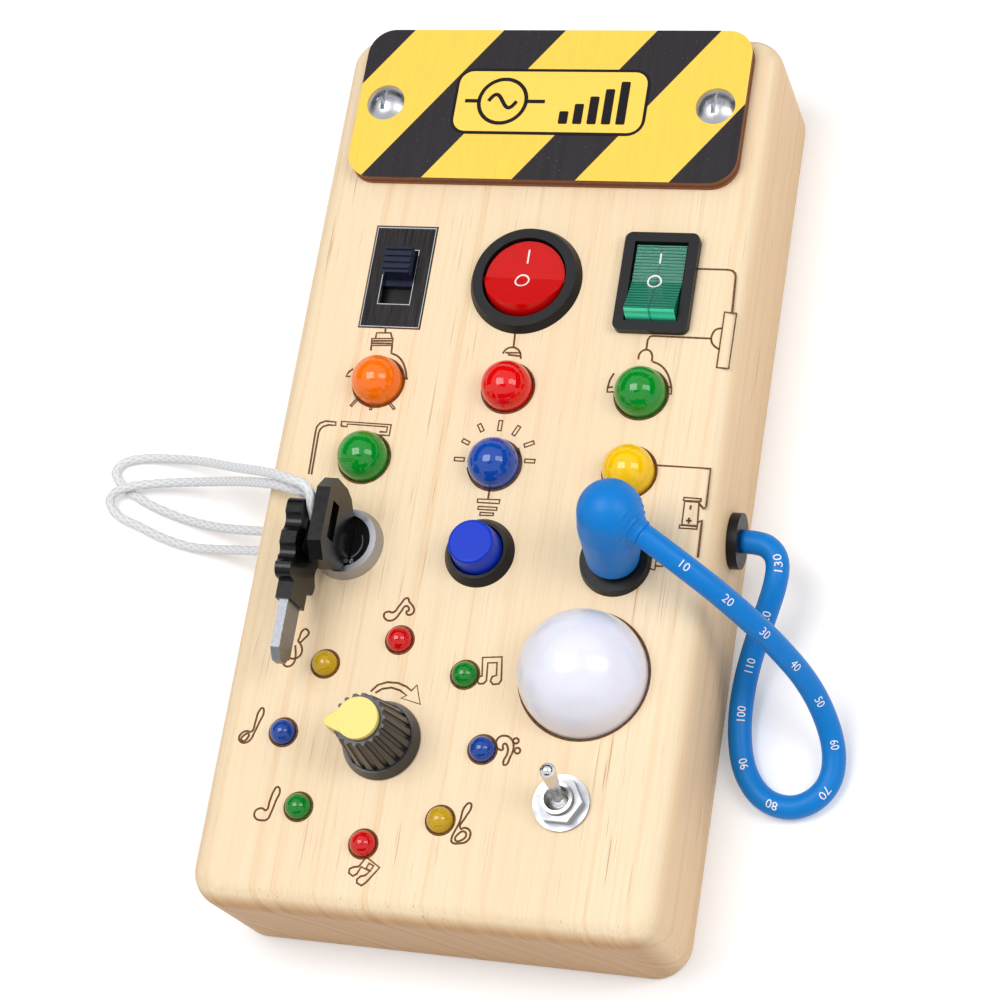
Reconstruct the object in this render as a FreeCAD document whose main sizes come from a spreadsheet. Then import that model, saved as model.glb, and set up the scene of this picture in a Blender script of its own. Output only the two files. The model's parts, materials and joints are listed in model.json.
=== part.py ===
import FreeCAD, Part
import math
import os
import re
import Sketcher
from types import SimpleNamespace
from FreeCAD import Placement, Rotation, Vector

# Wooden busy board with switches, lamps, a key lock, a tethered key pair and a patch hose.
# Frame: origin at the centre of the back face, +X right, +Y up the board, +Z out of the front.
# All lengths are millimetres, all angles degrees.

SIZES = {
    # Pine case: one routed block, open at the back
    "board_width": 92.0,
    "board_length": 186.0,
    "board_thick": 30.0,
    "panel_thick": 6.0,
    "wall_thick": 7.0,
    "plan_radius": 7.0,
    "front_radius": 4.5,
    "back_radius": 1.0,
    "post_side": 8.0,
    # Clearances that every fit reads
    "gap_fit": 0.2,
    "gap_move": 0.35,
    "gap_run": 0.08,
    # Back cover let into a rebate
    "cover_thick": 3.0,
    "cover_ledge": 3.0,
    "cover_screw_radius": 1.4,
    "cover_screw_head": 2.6,
    "cover_screw_length": 13.0,
    # Columns and rows of the front
    "column_centre": 0.9,
    "column_pitch": 27.0,
    "switch_row": 36.8,
    "lamp_row": 13.7,
    "lamp_pitch": 16.2,
    "lock_row": -20.7,
    # Striped ply plate
    "plate_width": 81.5,
    "plate_length": 34.1,
    "plate_thick": 3.0,
    "plate_radius": 5.5,
    "plate_centre": 74.8,
    "plate_screw_spacing": 69.6,
    "plate_screw_shank": 1.4,
    "plate_screw_head": 4.0,
    "plate_screw_rise": 1.6,
    "plate_screw_depth": 5.0,
    "cross_slot_width": 0.9,
    "cross_slot_length": 4.4,
    # Slide switch
    "slide_plate_width": 12.9,
    "slide_plate_length": 22.4,
    "slide_plate_thick": 1.0,
    "slide_window_width": 6.6,
    "slide_window_length": 11.8,
    "slide_body_depth": 11.0,
    "slide_knob_width": 5.8,
    "slide_knob_length": 5.6,
    "slide_knob_rise": 2.6,
    "slide_foot_side": 1.3,
    "slide_foot_thick": 1.2,
    "slide_travel": 5.4,
    "slide_rib_count": 4,
    "slide_rib_width": 0.5,
    # Round rocker switch
    "round_bezel_radius": 11.5,
    "round_barrel_radius": 10.0,
    "round_opening_radius": 8.6,
    "round_button_radius": 8.25,
    "rocker_bezel_rise": 2.0,
    "rocker_depth": 15.0,
    "rocker_floor": 2.0,
    "rocker_throw": 12.0,
    "rocker_crown": 1.2,
    "rocker_skirt": 4.2,
    "rocker_pivot_drop": 2.0,
    "rocker_pin_radius": 0.8,
    "rocker_pin_length": 0.9,
    # Square rocker switch
    "square_bezel_width": 15.0,
    "square_bezel_length": 21.0,
    "square_bezel_radius": 1.5,
    "square_barrel_width": 13.0,
    "square_barrel_length": 19.0,
    "square_opening_width": 10.8,
    "square_opening_length": 17.0,
    # Ten millimetre lamps
    "lamp_radius": 5.0,
    "lamp_flange_radius": 5.6,
    "lamp_flange_thick": 1.8,
    "lamp_rise": 6.2,
    "lamp_leg": 0.5,
    "lamp_leg_spacing": 2.54,
    # Five millimetre lamps in a ring round the knob
    "ring_lamp_radius": 2.5,
    "ring_lamp_flange": 2.9,
    "ring_lamp_rise": 2.7,
    "ring_radius": 20.0,
    "ring_lamp_count": 8,
    "ring_flange_thick": 1.0,
    # Circuit boards
    "circuit_thick": 1.6,
    "circuit_drop": 6.4,
    "main_circuit_width": 71.0,
    "main_circuit_length": 28.0,
    "ring_circuit_radius": 24.6,
    "ring_circuit_bore": 9.6,
    "spacer_radius": 2.4,
    "spacer_bore": 1.3,
    "spacer_circle": 13.4,
    "spacer_count": 3,
    "board_screw_radius": 1.0,
    "board_screw_head": 2.0,
    "board_screw_head_thick": 1.4,
    "board_screw_bite": 4.0,
    # Threaded barrels of the lock, the push button and the hose socket
    "barrel_radius": 6.0,
    "barrel_depth": 16.0,
    "barrel_floor": 2.0,
    "nut_flats": 15.0,
    "nut_thick": 2.5,
    # Key lock
    "lock_ring_radius": 7.3,
    "lock_ring_rise": 2.6,
    "lock_bore_radius": 5.3,
    "lock_rotor_sunk": 0.9,
    "lock_rotor_length": 14.0,
    "key_slot_width": 2.4,
    "key_slot_length": 8.8,
    "blade_thick": 1.8,
    "blade_width": 8.2,
    "blade_depth": 13.0,
    # Key heads
    "key_head_thick": 2.8,
    "key_head_width": 16.6,
    "key_head_height": 11.5,
    "key_neck_width": 9.6,
    "key_neck_height": 4.0,
    "key_hole_width": 3.4,
    "key_hole_length": 7.4,
    "spare_head_thick": 3.2,
    "spare_head_width": 13.8,
    "spare_head_length": 16.0,
    "spare_neck_width": 7.4,
    "spare_neck_length": 3.6,
    "spare_blade_length": 11.5,
    "spare_blade_width": 6.4,
    "spare_offset": 5.3,
    "spare_top": 3.4,
    "spare_rise": 3.5,
    "scallop_radius": 2.2,
    "scallop_depth": 1.1,
    # Push button
    "button_bezel_radius": 7.0,
    "button_bezel_top": 5.9,
    "button_bezel_rise": 2.2,
    "button_bore_radius": 5.3,
    "button_cap_radius": 4.95,
    "button_cap_top": 4.4,
    "button_cap_rise": 4.6,
    "button_cap_skirt": 7.0,
    "button_spring_outer": 3.6,
    "button_spring_inner": 3.0,
    # Hose, its socket, plug and grommet
    "hose_radius": 2.3,
    "socket_base_radius": 7.0,
    "socket_base_top": 6.6,
    "socket_base_rise": 1.8,
    "plug_pin_radius": 2.5,
    "plug_pin_depth": 12.0,
    "boot_base_radius": 5.7,
    "boot_top_radius": 5.2,
    "boot_height": 18.0,
    "boot_lean_x": 2.3,
    "boot_lean_y": 3.9,
    "boot_collar": 6.6,
    "boot_ring_count": 3,
    "boot_ring_step": 0.75,
    "grommet_row": -9.8,
    "grommet_height": 15.0,
    "grommet_flange": 5.5,
    "grommet_rise": 2.0,
    "grommet_barrel": 4.0,
    "grommet_inner_flange": 4.9,
    "grommet_inner_thick": 1.4,
    # Milky dome lamp
    "dome_column": 25.2,
    "dome_row": -43.4,
    "dome_radius": 12.25,
    "dome_centre_rise": 1.0,
    "dome_wall": 1.5,
    "dome_flange_radius": 13.3,
    "dome_flange_thick": 1.4,
    "dome_holder_thick": 2.8,
    # Toggle switch
    "toggle_column": 24.8,
    "toggle_row": -68.1,
    "toggle_body_width": 8.0,
    "toggle_body_length": 13.2,
    "toggle_body_depth": 10.5,
    "bushing_radius": 3.0,
    "bushing_rise": 4.2,
    "bushing_mouth": 2.4,
    "toggle_washer_radius": 5.4,
    "toggle_washer_thick": 0.7,
    "toggle_nut_flats": 8.0,
    "toggle_nut_thick": 2.2,
    "toggle_pivot_rise": 1.4,
    "toggle_ball_radius": 1.7,
    "toggle_tip_radius": 1.5,
    "toggle_neck_radius": 0.9,
    "toggle_length": 11.0,
    "toggle_throw": 15.0,
    # Knob on a potentiometer
    "knob_column": -12.0,
    "knob_row": -59.2,
    "knob_skirt_radius": 7.75,
    "knob_skirt_rise": 2.8,
    "knob_base_radius": 6.7,
    "knob_top_radius": 5.1,
    "knob_height": 14.0,
    "knob_recess_radius": 6.0,
    "knob_recess_depth": 2.6,
    "knob_flute_count": 18,
    "knob_flute_radius": 0.55,
    "knob_cap_radius": 4.0,
    "knob_cap_rise": 1.2,
    "knob_pointer_width": 1.7,
    "knob_pointer_angle": 190.0,
    "shaft_radius": 3.0,
    "shaft_top": 11.0,
    "pot_radius": 8.2,
    "pot_depth": 8.5,
    "pot_bushing_radius": 3.6,
    "pot_bushing_rise": 2.2,
    "pot_nut_flats": 9.4,
    "pot_nut_thick": 1.8,
    # Battery box for three cells
    "battery_row": 67.4,
    "cell_radius": 5.1,
    "cell_length": 44.5,
    "cell_pitch": 10.8,
    "cell_count": 3,
    "holder_wall": 1.5,
    "holder_end_block": 7.0,
    "contact_length": 2.6,
    "contact_radius": 2.2,
    "holder_roof": 1.6,
    "door_margin": 0.5,
    # Tether cord
    "cord_radius": 1.0,
    "cord_hole_low": -18.0,
    "cord_hole_high": -13.8,
    "cord_height": 15.0,
    # Wires inside
    "wire_radius": 0.6,
}

BEND_SHARE = 0.45

doc = FreeCAD.newDocument("BusyBoard")
sheet = doc.addObject("Spreadsheet::Sheet", "Sizes")
for row, (alias, value) in enumerate(SIZES.items(), start=1):
    sheet.set("A%d" % row, alias)
    sheet.set("B%d" % row, str(value))
    sheet.setAlias("B%d" % row, alias)
doc.recompute()
mm = SimpleNamespace(**{alias: float(getattr(sheet, alias)) for alias in SIZES})

NODES = []

# Heights and places that several pieces share, as expressions of the sheet
FRONT = "board_thick"
PANEL_BACK = "(board_thick - panel_thick)"
INNER_WIDTH = "(board_width - 2 * wall_thick)"
INNER_LENGTH = "(board_length - 2 * wall_thick)"
LEFT = "(column_centre - column_pitch)"
MIDDLE = "column_centre"
RIGHT = "(column_centre + column_pitch)"
CIRCUIT_TOP = "(board_thick - panel_thick - circuit_drop)"
CIRCUIT_BOTTOM = "(board_thick - panel_thick - circuit_drop - circuit_thick)"
PIVOT_Z = "(board_thick + rocker_bezel_rise - rocker_pivot_drop)"


def words(text):
    """Point every size's name in an expression at the sheet."""
    return re.sub(r"[a-z_]+", lambda m: "Sizes." * (m.group(0) in SIZES) + m.group(0), text)


def number(text):
    """The value of an expression of the sheet's sizes."""
    return float(sheet.evalExpression(words(text)))


def bind(obj, **sizes):
    for name, text in sizes.items():
        obj.setExpression(name, words(text))
    return obj


def place(obj, x, y, z):
    for axis, text in (("x", x), ("y", y), ("z", z)):
        obj.setExpression("Placement.Base." + axis, words(text))
    return obj


def block(x, y, low, high, width, length):
    """A box centred on x and y, between two heights."""
    obj = bind(doc.addObject("Part::Box", "Block"), Length=width, Width=length,
               Height="(%s) - (%s)" % (high, low))
    return place(obj, x + " - " + width + " / 2", y + " - " + length + " / 2", low)


def disc(x, y, low, high, radius):
    obj = bind(doc.addObject("Part::Cylinder", "Disc"), Radius=radius, Height="(%s) - (%s)" % (high, low))
    return place(obj, x, y, low)


def cone(x, y, low, high, low_radius, high_radius):
    obj = doc.addObject("Part::Cone", "Cone")
    bind(obj, Radius1=low_radius, Radius2=high_radius, Height="(%s) - (%s)" % (high, low))
    return place(obj, x, y, low)


def ball(x, y, z, radius):
    return place(bind(doc.addObject("Part::Sphere", "Ball"), Radius=radius), x, y, z)


def rod_x(x, y, z, radius, length):
    """A cylinder along X that starts at x."""
    obj = bind(doc.addObject("Part::Cylinder", "Rod"), Radius=radius, Height=length)
    obj.Placement = Placement(Vector(), Rotation(Vector(0, 1, 0), 90))
    return place(obj, x, y, z)


def hexagon(x, y, low, high, flats):
    """A hexagonal prism given by its width over the flats."""
    obj = doc.addObject("Part::Prism", "Hexagon")
    obj.Polygon = 6
    bind(obj, Circumradius=flats + " / sqrt(3)", Height="(%s) - (%s)" % (high, low))
    return place(obj, x, y, low)


def fuse(*pieces):
    if len(pieces) == 1:
        return pieces[0]
    obj = doc.addObject("Part::MultiFuse", "Fuse")
    obj.Shapes = list(pieces)
    return obj


def cut(base, *tools):
    obj = doc.addObject("Part::Cut", "Cut")
    obj.Base = base
    obj.Tool = fuse(*tools)
    return obj


def common(first, second):
    obj = doc.addObject("Part::Common", "Common")
    obj.Base = first
    obj.Tool = second
    return obj


def fillet(base, radius, picked):
    """Round the edges that the test picks."""
    doc.recompute()
    obj = doc.addObject("Part::Fillet", "Fillet")
    obj.Base = base
    obj.Edges = [(i, radius, radius) for i, edge in enumerate(base.Shape.Edges, start=1) if picked(edge)]
    return obj


def is_vertical(edge):
    first, last = edge.Vertexes[0].Point, edge.Vertexes[-1].Point
    return abs(first.x - last.x) + abs(first.y - last.y) < 1e-6


def lies_at(height):
    return lambda edge: all(abs(v.Z - height) < 1e-6 for v in edge.Vertexes)


def node(obj, name):
    """Name a finished sub-part and keep it for export."""
    obj.Label = name
    NODES.append(obj)
    return obj


def shaped(name, shape):
    """A sub-part whose shape is worked out here from the sheet's values."""
    obj = doc.addObject("Part::Feature", name)
    obj.Shape = shape
    obj.Placement = Placement()
    return node(obj, name)


def plate_body(name, x, y, z, width, length, thick, corner):
    """A padded rectangle with rounded corners, centred on x and y."""
    body = place(doc.addObject("PartDesign::Body", name + "_body"), x, y, z)
    plane = [item for item in body.Origin.OriginFeatures if item.Role == "XY_Plane"][0]
    outline = body.newObject("Sketcher::SketchObject", name + "_outline")
    outline.AttachmentSupport = [(plane, "")]
    outline.MapMode = "FlatFace"
    half_w, half_l = number(width) / 2, number(length) / 2
    ends = [Vector(-half_w, -half_l), Vector(half_w, -half_l),
            Vector(half_w, half_l), Vector(-half_w, half_l)]
    for start, end in zip(ends, ends[1:] + ends[:1]):
        outline.addGeometry(Part.LineSegment(start, end), False)
    for line in range(4):
        outline.addConstraint(Sketcher.Constraint("Coincident", line, 2, (line + 1) % 4, 1))
        outline.addConstraint(Sketcher.Constraint("Horizontal" if line % 2 == 0 else "Vertical", line))
    outline.addConstraint(Sketcher.Constraint("Symmetric", 0, 1, 2, 1, -1, 1))
    for side, label, text in ((0, "width", width), (1, "length", length)):
        index = outline.addConstraint(Sketcher.Constraint("Distance", side, number(text)))
        outline.renameConstraint(index, label)
        outline.setExpression("Constraints." + label, words(text))
    pad = body.newObject("PartDesign::Pad", name + "_pad")
    pad.Profile = outline
    bind(pad, Length=thick)
    doc.recompute()
    corners = body.newObject("PartDesign::Fillet", name + "_corners")
    corners.Base = (pad, ["Edge%d" % i for i, e in enumerate(pad.Shape.Edges, start=1) if is_vertical(e)])
    bind(corners, Radius=corner)
    body.Tip = corners
    return body


def rounded_path(points):
    """Straight runs joined by tangent arcs; also gives the arcs' radii."""
    edges, radii, start = [], [], points[0]
    for before, corner, after in zip(points, points[1:], points[2:]):
        back, ahead = before - corner, after - corner
        turn = math.pi - back.getAngle(ahead)
        trim = BEND_SHARE * min(back.Length, ahead.Length)
        radius = trim / math.tan(turn / 2)
        back.normalize()
        ahead.normalize()
        inward = back + ahead
        inward.normalize()
        enter, leave = corner + back * trim, corner + ahead * trim
        top = corner + inward * (radius / math.cos(turn / 2) - radius)
        edges += [Part.LineSegment(start, enter), Part.Arc(enter, top, leave)]
        radii.append(radius)
        start = leave
    edges.append(Part.LineSegment(start, points[-1]))
    return Part.Wire([edge.toShape() for edge in edges]), radii


def tube(points, radius):
    path, radii = rounded_path(points)
    section = Part.Wire([Part.Circle(points[0], points[1] - points[0], radius).toShape()])
    solid = path.makePipeShell([section], True, True)
    return solid, path.Length, radii


def report_tube(label, solid, length, radii, radius):
    wanted = math.pi * radius ** 2 * length
    print("%s: length %.1f, radii %.1f to %.1f, volume ratio %.4f"
          % (label, length, min(radii), max(radii), solid.Volume / wanted))


def row_points(rows):
    return [Vector(*row) for row in rows]


def make_case():
    """The pine block, rounded outside, routed from the back and drilled from the front."""
    raw = block("0", "0", "0", FRONT, "board_width", "board_length")
    upright = fillet(raw, mm.plan_radius, is_vertical)
    rounded = fillet(upright, mm.front_radius, lies_at(mm.board_thick))
    eased = fillet(rounded, mm.back_radius, lies_at(0))
    cavity = block("0", "0", "0", PANEL_BACK, INNER_WIDTH, INNER_LENGTH)
    posts = []
    for sx in "-+":
        for sy in "-+":
            x = "0 %s (%s - post_side) / 2" % (sx, INNER_WIDTH)
            y = "0 %s (%s - post_side) / 2" % (sy, INNER_LENGTH)
            posts.append(block(x, y, "cover_thick", PANEL_BACK + " + 1",
                               "(post_side + 0.02)", "(post_side + 0.02)"))
    hollow = cut(cavity, *posts)
    rebate = block("0", "0", "0", "cover_thick", "(%s + 2 * cover_ledge)" % INNER_WIDTH,
                   "(%s + 2 * cover_ledge)" % INNER_LENGTH)
    cuts = [hollow, rebate]
    for x, y in post_centres():
        cuts.append(disc(x, y, "0", "cover_screw_length + 1", "(cover_screw_radius + gap_run)"))
    through = (PANEL_BACK + " - 1", FRONT + " + 1")
    for sign in "-+":
        x = "0 %s plate_screw_spacing / 2" % sign
        cuts.append(disc(x, "plate_centre", FRONT + " - plate_screw_depth - 0.5", FRONT + " + 1",
                         "(plate_screw_shank + gap_run)"))
    cuts.append(block(LEFT, "switch_row", *through, "(slide_plate_width + 2 * gap_fit)",
                      "(slide_plate_length + 2 * gap_fit)"))
    cuts.append(disc(MIDDLE, "switch_row", *through, "(round_barrel_radius + gap_fit)"))
    cuts.append(block(RIGHT, "switch_row", *through, "(square_barrel_width + 2 * gap_fit)",
                      "(square_barrel_length + 2 * gap_fit)"))
    for x in (LEFT, MIDDLE, RIGHT):
        for y in ("lamp_row", "(lamp_row - lamp_pitch)"):
            cuts.append(disc(x, y, *through, "(lamp_radius + gap_fit)"))
        cuts.append(disc(x, "lock_row", *through, "(barrel_radius + gap_fit)"))
    cuts.append(disc("dome_column", "dome_row", *through, "(dome_radius + gap_fit)"))
    cuts.append(disc("toggle_column", "toggle_row", *through, "(bushing_radius + gap_fit)"))
    cuts.append(disc("knob_column", "knob_row", *through, "(pot_bushing_radius + gap_fit)"))
    for x, y in ring_places():
        cuts.append(disc(x, y, *through, "(ring_lamp_radius + gap_fit)"))
    for x, y in spacer_places():
        cuts.append(disc(x, y, PANEL_BACK + " - 1", PANEL_BACK + " + board_screw_bite + 0.5",
                         "(board_screw_radius + gap_run)"))
    cuts.append(rod_x("board_width / 2 - wall_thick - 1", "grommet_row", "grommet_height",
                      "(grommet_barrel + gap_fit)", "wall_thick + 2"))
    for y in ("cord_hole_low", "cord_hole_high"):
        cuts.append(rod_x("0 - board_width / 2 - 1", y, "cord_height", "(cord_radius + gap_fit)",
                          "wall_thick + 2"))
    node(cut(eased, *cuts), "wooden_case")


def post_centres():
    return [("0 %s (%s - post_side) / 2" % (sx, INNER_WIDTH),
             "0 %s (%s - post_side) / 2" % (sy, INNER_LENGTH))
            for sx in "-+" for sy in "-+"]


def ring_places():
    """Centres of the small lamps, on a circle round the knob."""
    count = int(mm.ring_lamp_count)
    return [("knob_column + ring_radius * cos(%d * 360deg / ring_lamp_count)" % i,
             "knob_row + ring_radius * sin(%d * 360deg / ring_lamp_count)" % i) for i in range(count)]


def ring_spacer_places():
    count = int(mm.spacer_count)
    return [("knob_column + spacer_circle * cos(22.5deg + %d * 360deg / spacer_count)" % i,
             "knob_row + spacer_circle * sin(22.5deg + %d * 360deg / spacer_count)" % i) for i in range(count)]


def spacer_places():
    between = "(lamp_row - lamp_pitch / 2)"
    return ring_spacer_places() + [("column_centre - column_pitch / 2", between),
                                   ("column_centre + column_pitch / 2", between)]


def make_cover():
    """Ply back cover, its countersunk screws and the battery door in it."""
    width = "(%s + 2 * cover_ledge - 2 * gap_fit)" % INNER_WIDTH
    length = "(%s + 2 * cover_ledge - 2 * gap_fit)" % INNER_LENGTH
    sheet_body = plate_body("back_cover", "0", "0", "0", width, length, "cover_thick", "0.8")
    door_hole = block(DOOR_X, "battery_row", "0 - 1", "cover_thick + 1", "(%s + 2 * gap_fit)" % DOOR_WIDTH,
                      "(%s + 2 * gap_fit)" % DOOR_LENGTH)
    holes, screws = [door_hole], []
    for x, y in post_centres():
        holes += [disc(x, y, "0 - 1", "cover_thick + 1", "(cover_screw_radius + gap_fit)"),
                  cone(x, y, "0", "cover_screw_head - cover_screw_radius + gap_fit",
                       "(cover_screw_head + gap_fit)", "(cover_screw_radius + gap_fit)")]
        screws.append(countersunk(x, y))
    node(cut(sheet_body, *holes), "back_cover")
    door = block(DOOR_X, "battery_row", "0", "cover_thick - gap_fit", DOOR_WIDTH, DOOR_LENGTH)
    door_holes = [disc(DOOR_SCREW_X, "battery_row", "0 - 1", "cover_thick + 1",
                       "(cover_screw_radius + gap_fit)"),
                  cone(DOOR_SCREW_X, "battery_row", "0", "cover_screw_head - cover_screw_radius + gap_fit",
                       "(cover_screw_head + gap_fit)", "(cover_screw_radius + gap_fit)")]
    node(cut(door, *door_holes), "battery_door")
    screws.append(countersunk(DOOR_SCREW_X, "battery_row"))
    group = doc.addObject("Part::Compound", "CoverScrews")
    group.Links = screws
    node(group, "back_cover_screws")


def countersunk(x, y):
    head = cone(x, y, "0", "cover_screw_head - cover_screw_radius", "cover_screw_head", "cover_screw_radius")
    shank = disc(x, y, "0", "cover_screw_length", "cover_screw_radius")
    slots = [block(x, y, "0 - 0.1", "0.9", "cross_slot_width * 0.8", "cross_slot_length * 0.7"),
             block(x, y, "0 - 0.1", "0.9", "cross_slot_length * 0.7", "cross_slot_width * 0.8")]
    return cut(fuse(head, shank), *slots)


POCKET_WIDTH = "(cell_length + 2 * contact_length)"
POCKET_LENGTH = "(cell_pitch * (cell_count - 1) + 2 * cell_radius + 2 * gap_move)"
HOLDER_WIDTH = "(%s + 2 * holder_wall + holder_end_block)" % POCKET_WIDTH
HOLDER_LENGTH = "(%s + 2 * holder_wall)" % POCKET_LENGTH
HOLDER_X = "0"
CELL_X = "(0 - holder_end_block / 2)"
DOOR_X = HOLDER_X
DOOR_WIDTH = "(%s - 2 * door_margin)" % HOLDER_WIDTH
DOOR_LENGTH = "(%s - 2 * door_margin)" % HOLDER_LENGTH
DOOR_SCREW_X = "(%s / 2 + holder_wall)" % POCKET_WIDTH
CELL_Z = "(cover_thick + gap_move + cell_radius)"
POCKET_TOP = "(cover_thick + 2 * gap_move + 2 * cell_radius)"


def make_batteries():
    """Holder on the cover, three cells side by side and the contacts at their ends."""
    shell = block(HOLDER_X, "battery_row", "cover_thick", POCKET_TOP + " + holder_roof",
                  HOLDER_WIDTH, HOLDER_LENGTH)
    pocket = block(CELL_X, "battery_row", "cover_thick - 1", POCKET_TOP, POCKET_WIDTH, POCKET_LENGTH)
    screw_hole = disc(DOOR_SCREW_X, "battery_row", "cover_thick - 1", "cover_screw_length + 0.5",
                      "(cover_screw_radius + gap_run)")
    node(cut(shell, pocket, screw_hole), "battery_holder")
    cells, contacts = [], []
    for i in range(int(mm.cell_count)):
        y = "battery_row + cell_pitch * (%d - (cell_count - 1) / 2)" % i
        cells.append(rod_x(CELL_X + " - cell_length / 2", y, CELL_Z, "cell_radius", "cell_length"))
        for x in (" - cell_length / 2 - contact_length", " + cell_length / 2 + gap_run"):
            contacts.append(rod_x(CELL_X + x, y, CELL_Z, "contact_radius", "contact_length - gap_run"))
    for name, parts in (("batteries", cells), ("battery_contacts", contacts)):
        group = doc.addObject("Part::Compound", name + "_group")
        group.Links = parts
        node(group, name)


def make_hazard_plate():
    """Ply plate on the front and its two cross-slot pan screws."""
    plate = plate_body("hazard_plate", "0", "plate_centre", FRONT, "plate_width", "plate_length",
                       "plate_thick", "plate_radius")
    top = FRONT + " + plate_thick"
    holes, screws = [], []
    for sign in "-+":
        x = "0 %s plate_screw_spacing / 2" % sign
        holes.append(disc(x, "plate_centre", FRONT + " - 1", top + " + 1", "(plate_screw_shank + gap_fit)"))
        crown = "((plate_screw_head ^ 2 + plate_screw_rise ^ 2) / (2 * plate_screw_rise))"
        cap = common(ball(x, "plate_centre", "(%s + plate_screw_rise - %s)" % (top, crown), crown),
                     disc(x, "plate_centre", top, top + " + plate_screw_rise + 1", "plate_screw_head"))
        shank = disc(x, "plate_centre", FRONT + " - plate_screw_depth", top + " + 0.1", "plate_screw_shank")
        deep = top + " + plate_screw_rise - 1.1"
        high = top + " + plate_screw_rise + 1"
        slots = [block(x, "plate_centre", deep, high, "cross_slot_width", "cross_slot_length"),
                 block(x, "plate_centre", deep, high, "cross_slot_length", "cross_slot_width")]
        screws.append(cut(fuse(cap, shank), *slots))
    node(cut(plate, *holes), "hazard_plate")
    group = doc.addObject("Part::Compound", "PlateScrews")
    group.Links = screws
    node(group, "plate_screws")


def make_slide_switch():
    """Metal plate level with the wood, body under it and the ribbed slider at the top of its window."""
    top_of_body = "(board_thick - slide_plate_thick)"
    plate = block(LEFT, "switch_row", top_of_body, FRONT, "slide_plate_width", "slide_plate_length")
    window = block(LEFT, "switch_row", top_of_body + " - 1", FRONT + " + 1", "slide_window_width",
                   "slide_window_length")
    node(cut(plate, window), "slide_switch_plate")
    body = block(LEFT, "switch_row", top_of_body + " - slide_body_depth", top_of_body, "slide_plate_width",
                 "slide_plate_length")
    foot_w = "(slide_knob_width + 2 * slide_foot_side)"
    foot_l = "(slide_knob_length + 2 * slide_foot_side)"
    pocket_floor = "(board_thick - slide_plate_thick - slide_foot_thick - 2 * gap_move)"
    pocket = block(LEFT, "switch_row", pocket_floor, top_of_body + " + 1", "(%s + 2 * gap_move)" % foot_w,
                   "(%s + slide_travel + 2 * gap_move)" % foot_l)
    node(cut(body, pocket), "slide_switch_body")
    y = "(switch_row + slide_travel / 2)"
    foot_low = "(%s + gap_move)" % pocket_floor
    foot = block(LEFT, y, foot_low, foot_low + " + slide_foot_thick", foot_w, foot_l)
    stem = block(LEFT, y, foot_low, FRONT + " + slide_knob_rise", "slide_knob_width", "slide_knob_length")
    grooves = []
    for i in range(int(mm.slide_rib_count)):
        step = "(slide_knob_length / slide_rib_count)"
        centre = "(%s + %s * (%d - (slide_rib_count - 1) / 2))" % (y, step, i)
        grooves.append(block(LEFT, centre, FRONT + " + slide_knob_rise - slide_rib_width",
                             FRONT + " + slide_knob_rise + 1", "(slide_knob_width + 1)", "slide_rib_width"))
    node(cut(fuse(foot, stem), *grooves), "slide_switch_knob")


def rocker_wedge(x, half_width):
    """Prism between the skirt and two facets that meet in a shallow valley, tipped to the pressed side."""
    reach = mm.square_opening_length
    up = math.tan(math.radians(2 * mm.rocker_throw))
    y, z = number("switch_row"), number(PIVOT_Z)
    low = z - mm.rocker_skirt
    valley = z + mm.rocker_crown
    outline = [Vector(x - half_width, y - reach, low), Vector(x - half_width, y + reach, low),
               Vector(x - half_width, y + reach, valley), Vector(x - half_width, y, valley),
               Vector(x - half_width, y - reach, valley + reach * up)]
    face = Part.Face(Part.makePolygon(outline + outline[:1]))
    return face.extrude(Vector(2 * half_width, 0, 0))


def rocker_pins(x, half_width):
    y, z = number("switch_row"), number(PIVOT_Z)
    reach = half_width + mm.rocker_pin_length
    return Part.makeCylinder(mm.rocker_pin_radius, 2 * reach, Vector(x - reach, y, z), Vector(1, 0, 0))


def make_round_rocker():
    top = FRONT + " + rocker_bezel_rise"
    ring = cone(MIDDLE, "switch_row", FRONT, top, "round_bezel_radius", "(round_bezel_radius - 0.9)")
    barrel = disc(MIDDLE, "switch_row", FRONT + " - rocker_depth", FRONT + " + 0.1", "round_barrel_radius")
    bore = disc(MIDDLE, "switch_row", FRONT + " - rocker_depth + rocker_floor", top + " + 1",
                "round_opening_radius")
    reach = "(round_opening_radius + rocker_pin_length)"
    pin_hole = rod_x("(%s - %s)" % (MIDDLE, reach), "switch_row", PIVOT_Z,
                     "(rocker_pin_radius + gap_run)", "2 * " + reach)
    node(cut(fuse(ring, barrel), bore, pin_hole), "round_rocker_housing")
    x, y, z = number(MIDDLE), number("switch_row"), number(PIVOT_Z)
    globe = Part.makeSphere(mm.round_button_radius, Vector(x, y, z))
    button = globe.common(rocker_wedge(x, mm.round_button_radius + 1))
    shaped("round_rocker_button", button.fuse(rocker_pins(x, mm.round_opening_radius - mm.gap_move)))


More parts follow.
